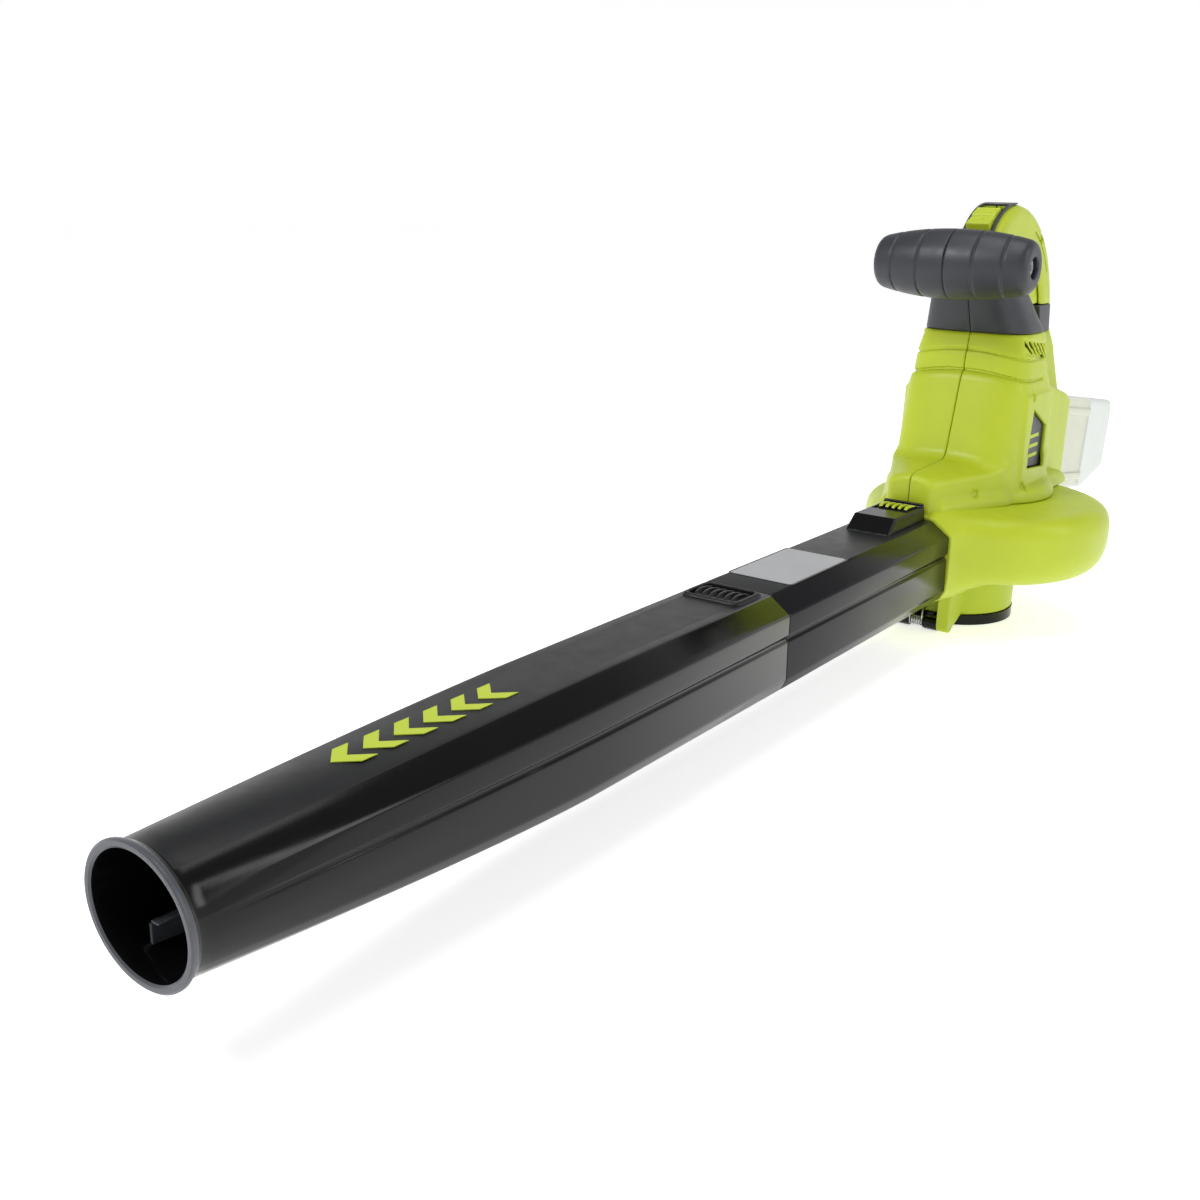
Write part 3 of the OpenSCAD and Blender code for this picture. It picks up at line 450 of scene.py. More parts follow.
def arch_outline(grow=0.0):
    inner_rx, inner_ry = ARCH_RX - 35, ARCH_RY - 42
    outer = arc(ARCH_Y, ARCH_FZ, ARCH_FX + grow, 46 + grow, 180, 90)
    outer += arc(ARCH_Y, ARCH_TOP - ARCH_RY, ARCH_RX + grow, ARCH_RY + grow, 88, 6, 36)
    outer += [(ARCH_Y + ARCH_RX, GRIP_LOW)]
    inner = [(ARCH_Y + 3 + inner_rx, GRIP_LOW)]
    inner += arc(ARCH_Y + 3, GRIP_LOW, inner_rx - grow, inner_ry - grow, 6, 90, 30)
    inner += arc(ARCH_Y + 3, GRIP_LOW + 24, ARCH_FX - 20 - grow, inner_ry - 24 - grow, 92, 180)
    return outer + inner


def arch_field(f, grow=0.0, soft=11.0):
    side = polygon_field(f.y, f.z, arch_outline(grow))
    return soft_max(side, np.abs(f.x) - HANDLE_W / 2 - grow, soft)


def column_field(f):
    z = f.z
    low = rounded_section(f.x, f.y - COLUMN_Y, knots(z, (ROOF_Z, FOOT_TOP, 197), (50, 49, 47.6)),
                          knots(z, (ROOF_Z, FOOT_TOP, 197), (57.5, 56.5, 38)))
    low = soft_max(low, z - (196.5 - 4 * (f.x / 43) ** 2), 9)
    high = rounded_section(f.x, f.y - COLUMN_Y, knots(z, (180, BELT_Z, COLUMN_TOP), (47.4, 45.6, 42.6)),
                           knots(z, (180, BELT_Z, COLUMN_TOP), (37.5, 34.4, 29.6)))
    high = soft_max(high, z - COLUMN_TOP + 0.1, 2.5)
    return low, high


def shoulder_field(f):
    """The wedge from the column to the tube, and the rounded skirt round the foot."""
    front = ROOT_Y + 4
    half = knots(f.y, (front, -36, 8, 60), (17, 45, 50, 50))
    crest = knots(f.y, (front, front + 8, -48, -34), (125.5, 127.5, 129.5, 133))
    wedge = soft_max(0.92 * (np.abs(f.x) - half), 0.97 * (f.z - crest + 5.5 * (np.abs(f.x) / half) ** 2.2), 3.4)
    wedge = soft_max(wedge, front - f.y, 4)
    wedge = soft_max(wedge, f.y - 40, 4)
    plan = np.minimum(along_z(f, 0, COLUMN_Y, 65), np.maximum(0.92 * (np.abs(f.x) - half - 5), front + 6 - f.y))
    plan = np.maximum(plan, f.y - 84)
    skirt = soft_max(plan, f.z - ROOF_Z - 12, 12)
    return wedge, skirt


def tail_field(f):
    """The body behind the column, which runs up to the rear handle."""
    side = polygon_field(f.y, f.z, [(14, ROOF_Z), (96, ROOF_Z), (100, 150), (104, 170), (121, 202), (121.3, 217),
                                    (60, 217), (14, 217)])
    half = knots(f.z, (ROOF_Z, 160, 196, 218), (40, 40, 25, 17))
    return soft_max(side, 0.85 * (np.abs(f.x) - half), 9)


def bay_field(f):
    """The raised frame that the battery slides into."""
    low, lip = ROOF_Z + 0.3, BAY_Z - PACK_H / 2 - 5
    side = polygon_field(f.y, f.z, [(30, low), (BAY_Y - 21, low), (BAY_Y - 19, lip), (BAY_Y, lip),
                                    (BAY_Y + 2, BAY_Z + 38), (BAY_Y - 8, BAY_Z + 44), (52, BAY_Z + 58), (30, BAY_Z + 58)])
    return soft_max(side, np.abs(f.x) - PACK_W / 2 - 5, 5)


SCREWS = [(0.0, COLUMN_TOP - 8, 41), (-1, BELT_Z - 29, 47), (-12, ROOF_Z + 12, 50), (-62, ROOF_Z + 12, 34)]


def housing():
    f = Field((-68, -108, 76), (68, 126, ARCH_TOP + 3), HOUSING_STEP)
    x, y, z = f.x, f.y, f.z
    low, high = column_field(f)
    wedge, skirt = shoulder_field(f)
    solid = soft_min(low, high, 1.6)
    solid = soft_min(solid, tail_field(f), 10)
    solid = soft_min(solid, wedge, 5.5)
    solid = soft_min(solid, skirt, 2.4)
    solid = soft_min(solid, bay_field(f), 2.2)
    solid = soft_min(solid, arch_field(f), 6)
    # raised flat that carries the badge
    pad = box_field(x, y, z, (0, COLUMN_Y, FOOT_TOP + 16), (47.4, 24, 31))
    solid = soft_min(solid, pad, 10)
    # two arched belt lines round the column, cut from its surface
    fall = np.abs(x) / COLUMN_HALF
    for crown in BELT_CROWNS:
        belt = np.abs(z - (crown - BELT_DROP * fall ** 2)) - 1.0
        belt = np.maximum(np.maximum(belt, -(soft_min(low, high, 1.6) + 1.5)), y - 22)
        solid = soft_max(solid, -belt, 0.7)
    shell = np.maximum(solid, ROOF_Z + 0.3 - z)
    shell = np.where(y > 92, solid, shell)
    shell = np.maximum(shell, -(solid + WALL))
    # vents on both sides: slots that lean back in a shallow panel
    panel = polygon_field(y, z, [(COLUMN_Y - 23, 208), (COLUMN_Y + 5, 204), (COLUMN_Y + 32, 195), (COLUMN_Y + 31, 214),
                                 (COLUMN_Y - 23, 220)])
    shell = soft_max(shell, -np.maximum(np.maximum(panel, -(solid + 0.9)), 20 - np.abs(x)), 0.5)
    for i in range(VENTS):
        across = turned(y, z, COLUMN_Y - 16 + i * 8.2, 211.5 - i * 1.6, VENT_ANGLE)[1]
        slot = np.maximum(np.maximum(np.abs(across) - VENT_HALF, panel + 1.6), 20 - np.abs(x))
        shell = np.maximum(shell, -slot)
    # battery room
    v, w = turned(y, z, BAY_Y, BAY_Z, -DROOP)
    wide = PACK_W / 2 + 2 * GAP
    deep = np.maximum(np.abs(v + 5) - 50, np.abs(w - PACK_H * 0.12) - PACK_H * 0.38 - 2 * GAP)
    mouth = np.maximum(-2.6 - v, np.abs(w) - PACK_H / 2 - 2 * GAP)
    room = np.maximum(np.abs(x) - wide, np.minimum(deep, mouth))
    shell = np.maximum(shell, -room)
    # trigger, grip, slide and screws
    trigger_room = polygon_field(y, z, [(TRIGGER_Y - 32, TRIGGER_LOW - 1), (TRIGGER_Y + 25, TRIGGER_LOW - 1),
                                        (TRIGGER_Y + 22, TRIGGER_LOW + 16), (TRIGGER_Y + 6, TRIGGER_TOP + 3),
                                        (TRIGGER_Y - 24, TRIGGER_TOP + 3)])
    shell = np.maximum(shell, -np.maximum(trigger_room, np.abs(x) - 13.6))
    grip_room = polygon_field(y, z, [(ARCH_Y + 40, GRIP_LOW), (ARCH_Y + ARCH_RX - 6, GRIP_LOW),
                                     (ARCH_Y + ARCH_RX - 10, GRIP_TOP + 0.5), (ARCH_Y + 40, GRIP_TOP + 0.5)])
    shell = np.maximum(shell, -np.maximum(grip_room, np.abs(x) - 18))
    v, w = turned(y, z, SLIDE_Y, SLIDE_Z, SLIDE_TILT)
    shell = np.maximum(shell, -np.maximum(np.abs(x) - 9.5, np.maximum(np.abs(v) - 20, -3.3 - w)))
    for screw_y, screw_z, depth in SCREWS:
        hole = np.maximum(np.maximum(along_x(f, screw_y, screw_z, SCREW_R), depth - 12 - x), -(solid + 1.5))
        shell = soft_max(shell, -hole, 0.8)
    # hexagonal recess and slit on the side of the arch
    hexagon = polygon_field(y, z, [(74 + 5 * math.cos(a), 291 + 5 * math.sin(a))
                                   for a in np.radians(np.arange(30, 390, 60))])
    shell = np.maximum(shell, -np.maximum(hexagon, 13.5 - x))
    slit = np.maximum(np.abs(np.sqrt((y - ARCH_Y) ** 2 + ((z - ARCH_TOP + ARCH_RY) * 0.89) ** 2) - 86) - 0.6,
                      np.maximum(np.abs(z - 280) - 16, 20 - y))
    shell = np.maximum(shell, -np.maximum(slit, 14 - x))
    badge = polygon_field(y, z, badge_outline(0.5))
    shell = np.maximum(shell, -np.maximum(badge, 46 - x))
    shell = np.maximum(shell, -(along_x(f, BAR_Y, BAR_Z, BAR_R + 0.4)))
    mount = np.maximum(along_z(f, 0, 0, MOUNT_R), np.maximum(z - ROOF_Z - 8, ROOF_Z - 5 - z))
    shell = np.maximum(shell, -np.maximum(mount, solid + 1.6))
    for side, sign in (("left", -1), ("right", 1)):
        half = soft_max(shell, 0.12 - sign * x, 0.9)
        field_piece("housing_" + side + "_shell", f, half, "housing", FINISH["green_plastic"],
                    ("housing_" + side,), keep=0.35)


def badge_outline(grow=0.0):
    return [(COLUMN_Y - 18 - grow, FOOT_TOP - 5 - grow), (COLUMN_Y + 17 + grow, FOOT_TOP - 8 - grow),
            (COLUMN_Y + 18 + grow, FOOT_TOP + 23 + grow), (COLUMN_Y - 12 - grow, FOOT_TOP + 39 + grow)]


def badge_mark():
    """Three plain level bars, standing just proud of the badge."""
    face, half, tall, pitch = BADGE_FACE + PROUD, 9.5, 2.8, 7.5
    for i in range(3):
        base = FOOT_TOP + 1 + i * pitch
        prism("badge_bar_" + str(i), [(COLUMN_Y - half, base), (COLUMN_Y + half, base), (COLUMN_Y + half, base + tall),
                                      (COLUMN_Y - half, base + tall)],
              face - 0.3, face + 0.35, "housing", FINISH["green_print"], 0.2)


# ---------------------------------------------------------------- front grip
def front_grip():
    f = Field((-BAR_HALF - 2, BAR_Y - BAR_R - 2, COLUMN_TOP - 3), (BAR_HALF + 2, 46, BAR_Z + BAR_R + 2), GRIP_STEP)
    x, y, z = f.x, f.y, f.z
    reach = np.abs(x) / BAR_HALF
    radius = BAR_R - (BAR_R - BAR_END_R) * reach ** 2.2
    bar = 0.97 * (np.sqrt((y - BAR_Y) ** 2 + (z - BAR_Z) ** 2) - radius)
    for at in BAR_GROOVES:
        bend = at + GROOVE_BEND * at * (y - BAR_Y) ** 2
        bar = bar + GROOVE_DEPTH * np.exp(-((x - bend) / GROOVE_WIDTH) ** 2)
    bar = soft_max(bar, np.abs(x) - BAR_HALF, 6)
    levels = (COLUMN_TOP, 250, 262, 276)
    post = rounded_section(x, y - knots(z, levels, (14, -2, -20, -40)), knots(z, levels, (42.2, 34, 30, 22)),
                           knots(z, levels, (29.2, 25, 21, 14)), 3.8)
    post = np.maximum(soft_max(0.9 * post, z - 275, 6), COLUMN_TOP + 0.15 - z)
    grip = soft_min(bar, post, 5)
    grip = np.maximum(grip, -arch_field(f, 0.3, 10))
    inside = np.maximum(post + 3.2, COLUMN_TOP - 2 - z)
    grip = np.maximum(grip, -np.maximum(inside, z - 252))
    grip = np.maximum(grip, -along_x(f, BAR_Y, BAR_Z, BOLT_R))
    pocket = np.maximum(along_x(f, BAR_Y, BAR_Z, 7.6), BAR_HALF - 8 - np.abs(x))
    grip = soft_max(grip, -pocket, 1.5)
    for side, sign in (("left", -1), ("right", 1)):
        half = soft_max(grip, 0.1 - sign * x, 1.0)
        field_piece("front_grip_" + side + "_shell", f, half, "housing", FINISH["dark_plastic"],
                    ("front_grip_" + side,), keep=0.4)


# ---------------------------------------------------------------- fan drum
def duct_outline(inset):
    b, t = TUBE_HALF - inset, TUBE_H / 2 - inset
    f = TUBE_HALF * 0.61 - inset * 0.45
    return [(f, t), (b, t - 10 + inset * 0.4), (b, -t + 14 - inset * 0.3), (b - 3.3, -t + 7), (f, -t),
            (-f, -t), (3.3 - b, -t + 7), (-b, -t + 14 - inset * 0.3), (-b, t - 10 + inset * 0.4), (-f, t)]


def duct_field(f, inset, y0, y1, soft=2.0):
    section = polygon_field(f.x, f.z - TUBE_Z, duct_outline(inset))
    return soft_max(section, np.maximum(f.y - y1, y0 - f.y), soft)


def drum():
    f = Field((-74, ROOT_Y - 38, -3), (118, 94, ROOF_Z + 3), HOUSING_STEP)
    x, y, z = f.x, f.y, f.z
    plan = along_z(f, DRUM_X, DRUM_Y, DRUM_R)
    body = soft_max(soft_max(plan, z - ROOF_Z, 17), DRUM_Z - z, 30)
    duct = duct_field(f, 0, ROOT_Y, -40, 1.0)
    body = soft_min(body, duct, 24)
    body = np.maximum(body, ROOT_Y - y)
    spigot = duct_field(f, TUBE_WALL + GAP, ROOT_Y - 36, ROOT_Y + 4, 1.0)
    collar = np.maximum(along_z(f, 0, 0, COLLAR_R - 0.02 * (DRUM_Z - z)), COLLAR_Z - z)
    collar = np.maximum(collar, z - DRUM_Z - 4)
    solid = soft_min(body, collar, 3)
    shell = np.maximum(solid, -(body + WALL))
    shell = np.minimum(shell, spigot)
    shell = np.maximum(shell, -duct_field(f, 2 * TUBE_WALL + GAP, ROOT_Y - 40, -COLLAR_R - 4, 1.0))
    ear_side = polygon_field(y, z, arc(HINGE_Y, HINGE_Z, 5.2, 5.2, 180, 330, 10)
                             + [(-COLLAR_R + 8, COLLAR_Z + 4), (-COLLAR_R + 14, DRUM_Z + 4), (HINGE_Y - 4, DRUM_Z + 4)])
    ears = soft_max(ear_side, np.abs(np.abs(x) - EAR_X - EAR_T / 2) - EAR_T / 2, 1.6)
    shell = np.minimum(shell, np.maximum(ears, z - DRUM_Z - 2))
    shell = np.maximum(shell, -np.maximum(along_z(f, 0, 0, COLLAR_R - WALL), z - DRUM_Z - WALL - 2))
    shell = np.maximum(shell, -np.maximum(along_z(f, 0, 0, ROTOR_R), ROOF_Z - 8 - z))
    shell = np.maximum(shell, -along_x(f, HINGE_Y, HINGE_Z, PIN_R))
    shell = np.maximum(shell, -box_field(x, y, z, (0, HINGE_Y + 2, 17), (EAR_X, 13.7, 18)))
    field_piece("fan_drum", f, shell, "housing", FINISH["green_plastic"], ("volute", "drum_floor"),
                keep=0.35)


# ---------------------------------------------------------------- tubes
def rounded_outline(points, radius, steps=4):
    """Replaces each corner of an outline with a small curve."""
    points = [np.array(p, float) for p in points]
    result = []
    for i, corner in enumerate(points):
        before, after = points[i - 1], points[(i + 1) % len(points)]
        a, b = before - corner, after - corner
        cut = min(radius, 0.45 * np.linalg.norm(a), 0.45 * np.linalg.norm(b))
        p, q = corner + a / np.linalg.norm(a) * cut, corner + b / np.linalg.norm(b) * cut
        for k in range(steps + 1):
            t = k / steps
            result.append((1 - t) ** 2 * p + 2 * t * (1 - t) * corner + t * t * q)
    return np.array(result)


def dense(outline, like, longest=2.5):
    """Splits long sides, by the lengths in a like outline, so that two outlines keep one count."""
    result = []
    for i in range(len(outline)):
        j = (i + 1) % len(outline)
        parts = max(1, int(np.linalg.norm(like[j] - like[i]) / longest))
        result += [outline[i] + (outline[j] - outline[i]) * k / parts for k in range(parts)]
    return np.array(result)


def tube_outline(inset=0.0):
    """The duct's outline with a groove along each side."""
    right = duct_outline(inset)[:5]
    b = right[1][0]
    right = right[:2] + [(b, 9.6), (b - 1.7, 8.4), (b - 1.7, 6.4), (b - 0.4, 5.2)] + right[2:]
    left = [(-x, z) for x, z in right[::-1]]
    return right + left


def loft(name, rings, body, material, nodes=()):
    """Joins rings of points, and the last ring to the first."""
    n = len(rings[0])
    points = [p for ring in rings for p in ring]
    count = len(rings)
    faces = []
    for i in range(count):
        j = (i + 1) % count
        faces += [(i * n + k, i * n + (k + 1) % n, j * n + (k + 1) % n, j * n + k) for k in range(n)]
    piece = add_mesh(name, points, faces, body, material, nodes)
    tidy_normals(piece)
    return piece


def ring_at(outline, y, centre_z):
    return [(x, y, centre_z + z) for x, z in outline]


def smooth_by_angle(piece, angle):
    piece.data.shade_smooth()
    work = bmesh.new()
    work.from_mesh(piece.data)
    for edge in work.edges:
        if len(edge.link_faces) == 2 and edge.calc_face_angle(0) > math.radians(angle):
            edge.smooth = False
    work.to_mesh(piece.data)
    work.free()
    return piece


def cut_box(piece, low, high):
    """Cuts a box-shaped opening in a closed piece."""
    corners = [(x, y, z) for x in (low[0], high[0]) for y in (low[1], high[1]) for z in (low[2], high[2])]
    faces = [(0, 1, 3, 2), (4, 6, 7, 5), (0, 4, 5, 1), (2, 3, 7, 6), (0, 2, 6, 4), (1, 5, 7, 3)]
    mesh = bpy.data.meshes.new("cutter")
    mesh.from_pydata([tuple(c * MM for c in p) for p in corners], [], faces)
    cutter = bpy.data.objects.new("cutter", mesh)
    bpy.context.scene.collection.objects.link(cutter)
    tidy_normals(cutter)
    boolean = piece.modifiers.new("cut", "BOOLEAN")
    boolean.operation, boolean.solver, boolean.object = "DIFFERENCE", "EXACT", cutter
    bpy.context.view_layer.update()
    apply_modifiers(piece)
    bpy.data.objects.remove(cutter)


def paint_top(piece, material, outline, rings):
    """Gives the flat along the top of a lofted tube a second finish."""
    count = len(outline)
    level = TUBE_H / 2 - 0.3
    flat = [outline[k][1] > level and outline[(k + 1) % count][1] > level for k in range(count)]
    piece.data.materials.append(material)
    for face in piece.data.polygons:
        ring, column = divmod(face.index, count)
        if ring < rings and flat[column]:
            face.material_index = 1


def upper_tube():
    outer = rounded_outline(tube_outline(), 1.3)
    inner = rounded_outline(tube_outline(TUBE_WALL), 0.8)
    y0, y1 = ROOT_Y - GAP, JOINT_Y + GAP
    rings = [ring_at(outer * s, y, TUBE_Z) for y, s in ((y0, 0.992), (y0 - 0.7, 1.0), (y1 + 0.7, 1.0), (y1, 0.992))]
    rings += [ring_at(inner, y, TUBE_Z) for y in (y1, y0)]
    tube = loft("upper_tube_shell", rings, "rear_tube", FINISH["black_plastic"], nodes=("upper_tube",))
    smooth_by_angle(tube, 35)
    paint_top(tube, SATIN_BLACK, outer, 3)
    # sleeve that the lower tube slides over, open where the catch dips in
    outer = rounded_outline(duct_outline(TUBE_WALL + GAP), 1.0)
    inner = rounded_outline(duct_outline(2 * TUBE_WALL + GAP), 0.8)
    rings = [ring_at(outer, y, TUBE_Z) for y in (y1 + 3, JOINT_Y - 30)]
    rings += [ring_at(inner, y, TUBE_Z) for y in (JOINT_Y - 30, y1 + 3)]
    sleeve = loft("tube_sleeve", rings, "rear_tube", FINISH["black_plastic"])
    smooth_by_angle(sleeve, 35)
    cut_box(sleeve, (-17, JOINT_Y - 31, TUBE_TOP - 8), (17, WINDOW_HIGH[1] + 1, TUBE_TOP + 1))


def latch_block():
    """The raised block that carries the tube latch."""
    z0, z1 = TUBE_TOP - 0.6, TUBE_TOP + 10
    front, back = ROOT_Y - 62, ROOT_Y - 2
    pocket_back, pocket_front = BLOCK_LATCH_HIGH[1] + 0.4, BLOCK_LATCH_LOW[1] - 0.4
    half, pocket = 17.0, (BLOCK_LATCH_HIGH[0] + 0.4)
    f = Field((-20, front - 2, z0 - 1), (20, back + 2, z1 + 4), FINE_STEP)
    side = polygon_field(f.y, f.z, [(back, z0), (back, z1), (front + 11, z1), (front, z0)])
    block = soft_max(side, np.abs(f.x) - half + 0.10 * (f.z - z0), 1.4)
    well = box_field(f.x, f.y, f.z, (0, (pocket_back + pocket_front) / 2, z1),
                     (pocket, (pocket_back - pocket_front) / 2, 9.7))
    block = np.maximum(block, -well)
    lip = box_field(f.x, f.y, f.z, (0, BLOCK_LATCH_HIGH[1] + 2.8, z1 + 0.6), (15, 1.5, 1.5))
    block = soft_min(block, lip, 0.8)
    field_piece("latch_block", f, block, "rear_tube", FINISH["black_plastic"], keep=0.5)


def lower_tube():
    y0 = JOINT_Y - GAP
    straight_end = y0 - (LOWER_HIGH[1] - LOWER_LOW[1]) * 0.44
    mouth_z = TUBE_TOP - MOUTH_TALL
    rim = rounded_outline(tube_outline(), 1.6)
    base = dense(rim, rim)
    base_in = dense(rounded_outline(tube_outline(TUBE_WALL), 1.0), rim)
    angles = np.unwrap(np.arctan2(base[:, 1], base[:, 0]))

    def mouth(a, b):
        return np.stack([a * np.cos(angles), b * np.sin(angles)], 1)

    def section(t, source, inset=0.0):
        blend = t ** 1.5
        outline = source * (1 - blend) + mouth(MOUTH_HALF - inset, MOUTH_TALL - inset) * blend
        return outline, (TUBE_Z * (1 - blend) + mouth_z * blend)

    rings = []
    stations = 46
    for s, y in ((0.992, y0), (1.0, y0 - 0.7)):
        rings.append(ring_at(base * s, y, TUBE_Z))
    length = straight_end - (MOUTH_Y + 6)
    for i in range(stations + 1):
        t = i / stations
        outline, centre = section(t, base)
        rings.append(ring_at(outline, straight_end - length * t, centre))
    # flared lip round the mouth: distance from the mouth and outward growth
    for y, grow in ((MOUTH_Y + 4.6, 0.3), (MOUTH_Y + 3.4, 1.5), (MOUTH_Y + 1.9, 2.35), (MOUTH_Y + 0.7, 2.3),
                    (MOUTH_Y + 0.05, 1.5), (MOUTH_Y, 0.4), (MOUTH_Y + 0.1, -0.6), (MOUTH_Y + 0.9, -1.5)):
        rings.append(ring_at(mouth(MOUTH_HALF + grow, MOUTH_TALL + grow), y, mouth_z))
    for i in range(stations, -1, -2):
        t = i / stations
        outline, centre = section(t, base_in, TUBE_WALL)
        rings.append(ring_at(outline, straight_end - length * t + (1.5 if i == stations else 0), centre))
    rings.append(ring_at(base_in, y0, TUBE_Z))
    tube = loft("lower_tube_shell", rings, "front_tube", FINISH["black_plastic"], nodes=("lower_tube",))
    smooth_by_angle(tube, 35)
    paint_top(tube, SATIN_BLACK, base, stations + 2)
    tube.data.materials.append(LIP_GREY)
    for face in tube.data.polygons:
        if face.center.y < (MOUTH_Y + 3.6) * MM:
            face.material_index = 2
    cut_box(tube, (-16.5, WINDOW_LOW[1] - 0.5, TUBE_TOP - 8), (16.5, WINDOW_HIGH[1] + 0.5, TUBE_TOP + 1))
    z0, front, back = mouth_z - MOUTH_TALL + 3.0, MOUTH_Y + 14, MOUTH_Y + 52
    web = [(front, z0 + 10), (front + 4, z0 + 11), (back, z0 + 11), (back, z0), (front, z0)]
    cap = [(front + 1, z0 + 9.8), (back, z0 + 9.8), (back, z0 + 11), (front + 1, z0 + 11)]
    for side, x in (("left", -14.5), ("right", 9.5)):
        prism("mouth_fin_" + side, web, x, x + 1.5, "front_tube", LIP_GREY, 0.4)
        prism("mouth_fin_top_" + side, cap, x, x + 4.5, "front_tube", LIP_GREY, 0.4)


def joint_window():
    """A framed window in the lower tube's top with curved ribs in it."""
    cy = (WINDOW_LOW[1] + WINDOW_HIGH[1]) / 2
    top = TUBE_TOP
    f = Field((-24, cy - 20, top - 3.4), (24, cy + 20, top + 4), WINDOW_STEP)
    outer = rounded_section(f.x, f.y - cy, 20.0 - 0.4 * (f.z - top), 15.5 - 0.4 * (f.z - top), 7)
    rim = soft_max(outer, f.z - top - 1.9, 1.4)
    rim = np.maximum(rim, top - 0.5 - f.z)
    hole = rounded_section(f.x, f.y - cy, 16.6, 12.6, 8)
    rim = soft_max(rim, -hole, 0.8)
    field_piece("window_frame", f, rim, "front_tube", SATIN_BLACK, keep=0.5)
    plate = np.maximum(rounded_section(f.x, f.y - cy, 16.0, 12.0, 8), np.abs(f.z - top + 0.9) - 1.0)
    for i in range(6):
        at = -13 + i * 5.0 + 0.022 * (f.y - cy) ** 2 - 1.0
        rib = soft_max(np.abs(f.x - at) - 1.05, np.abs(f.y - cy) - 9.5, 0.8)
        rib = soft_max(rib, f.z - top - 2.0 + 0.012 * (f.y - cy) ** 2, 0.9)
        plate = soft_min(plate, np.maximum(rib, top - 1 - f.z), 0.5)
    field_piece("joint_catch", f, plate, "joint_latch", FINISH["black_plastic"], ("joint_latch",),
                keep=0.5)


def tube_latch():
    """Green push latch with five raised ribs; below the rib tops it is coloured satin black, as painted shade between
    the ribs.
    """
    (x1, y1, z1), (x0, y0, z0) = BLOCK_LATCH_HIGH, BLOCK_LATCH_LOW
    cy = (y0 + y1) / 2
    f = Field((x0 - 1, y0 - 1, z0 - 1), (x1 + 1, y1 + 1, z1 + 1.5), CATCH_STEP)
    plate = soft_max(rounded_section(f.x, f.y - cy, x1, (y1 - y0) / 2, 8), np.abs(f.z - z0 - 2.9) - 3.0, 0.8)
    for i in range(5):
        at = -9.6 + i * 4.8 + 0.02 * (f.y - cy) ** 2
        rib = soft_max(np.abs(f.x - at) - 1.3, np.abs(f.y - cy) - 7.6, 0.9)
        rib = soft_max(rib, f.z - z1 + 0.015 * (f.y - cy) ** 2, 1.0)
        plate = soft_min(plate, np.maximum(rib, z0 + 2 - f.z), 0.5)
    well = along_z(f, 0, cy, (SPRING_HIGH[0] - SPRING_LOW[0]) / 2 + 0.5)
    well = np.maximum(well, f.z - SPRING_HIGH[2] - PRESS - 0.4)
    plate = np.maximum(plate, -well)
    piece = field_piece("tube_catch", f, plate, "tube_latch", SATIN_BLACK, ("tube_latch",), keep=0.5)
    # Only the rib tops are green; the black below them is painted shade for the gaps between the ribs, on a pad that is
    # green.
    piece.data.materials.append(FINISH["green_plastic"])
    for face in piece.data.polygons:
        if face.center.z > (z1 - 1.6) * MM:
            face.material_index = 1


def label():
    """Foil label with rounded corners in a fine raised outline."""
    cy = (LABEL_LOW[1] + LABEL_HIGH[1]) / 2
    half_width, half_length = LABEL_HIGH[0], (LABEL_HIGH[1] - LABEL_LOW[1]) / 2

    def corner_outline(grow, radius):
        a, b = half_width + grow, half_length + grow
        return rounded_outline([(a, b), (-a, b), (-a, -b), (a, -b)], radius, 6)

    base, top = TUBE_TOP - 0.05, TUBE_TOP + 0.3
    rings = []
    for outline, z in ((corner_outline(0, 3), base), (corner_outline(0, 3), top - 0.1), (corner_outline(-0.2, 3), top)):
        rings.append([(x, y + cy, z) for x, y in outline])
    points = [p for ring in rings for p in ring]
    n = len(rings[0])
    faces = [(i * n + k, i * n + (k + 1) % n, (i + 1) * n + (k + 1) % n, (i + 1) * n + k)
             for i in range(2) for k in range(n)]
    faces += [tuple(range(2 * n, 3 * n)), tuple(range(n))[::-1]]
    piece = add_mesh("tube_label_foil", points, faces, "rear_tube", FINISH["label_foil"],
                     ("tube_label",))
    tidy_normals(piece)
    rings = []
    for grow, z in ((0.4, base), (0.4, base + 0.3), (1.2, base + 0.3), (1.2, base)):
        rings.append([(x, y + cy, z) for x, y in corner_outline(grow, 3.4)])
    loft("label_outline", rings, "rear_tube", FINISH["black_plastic"])


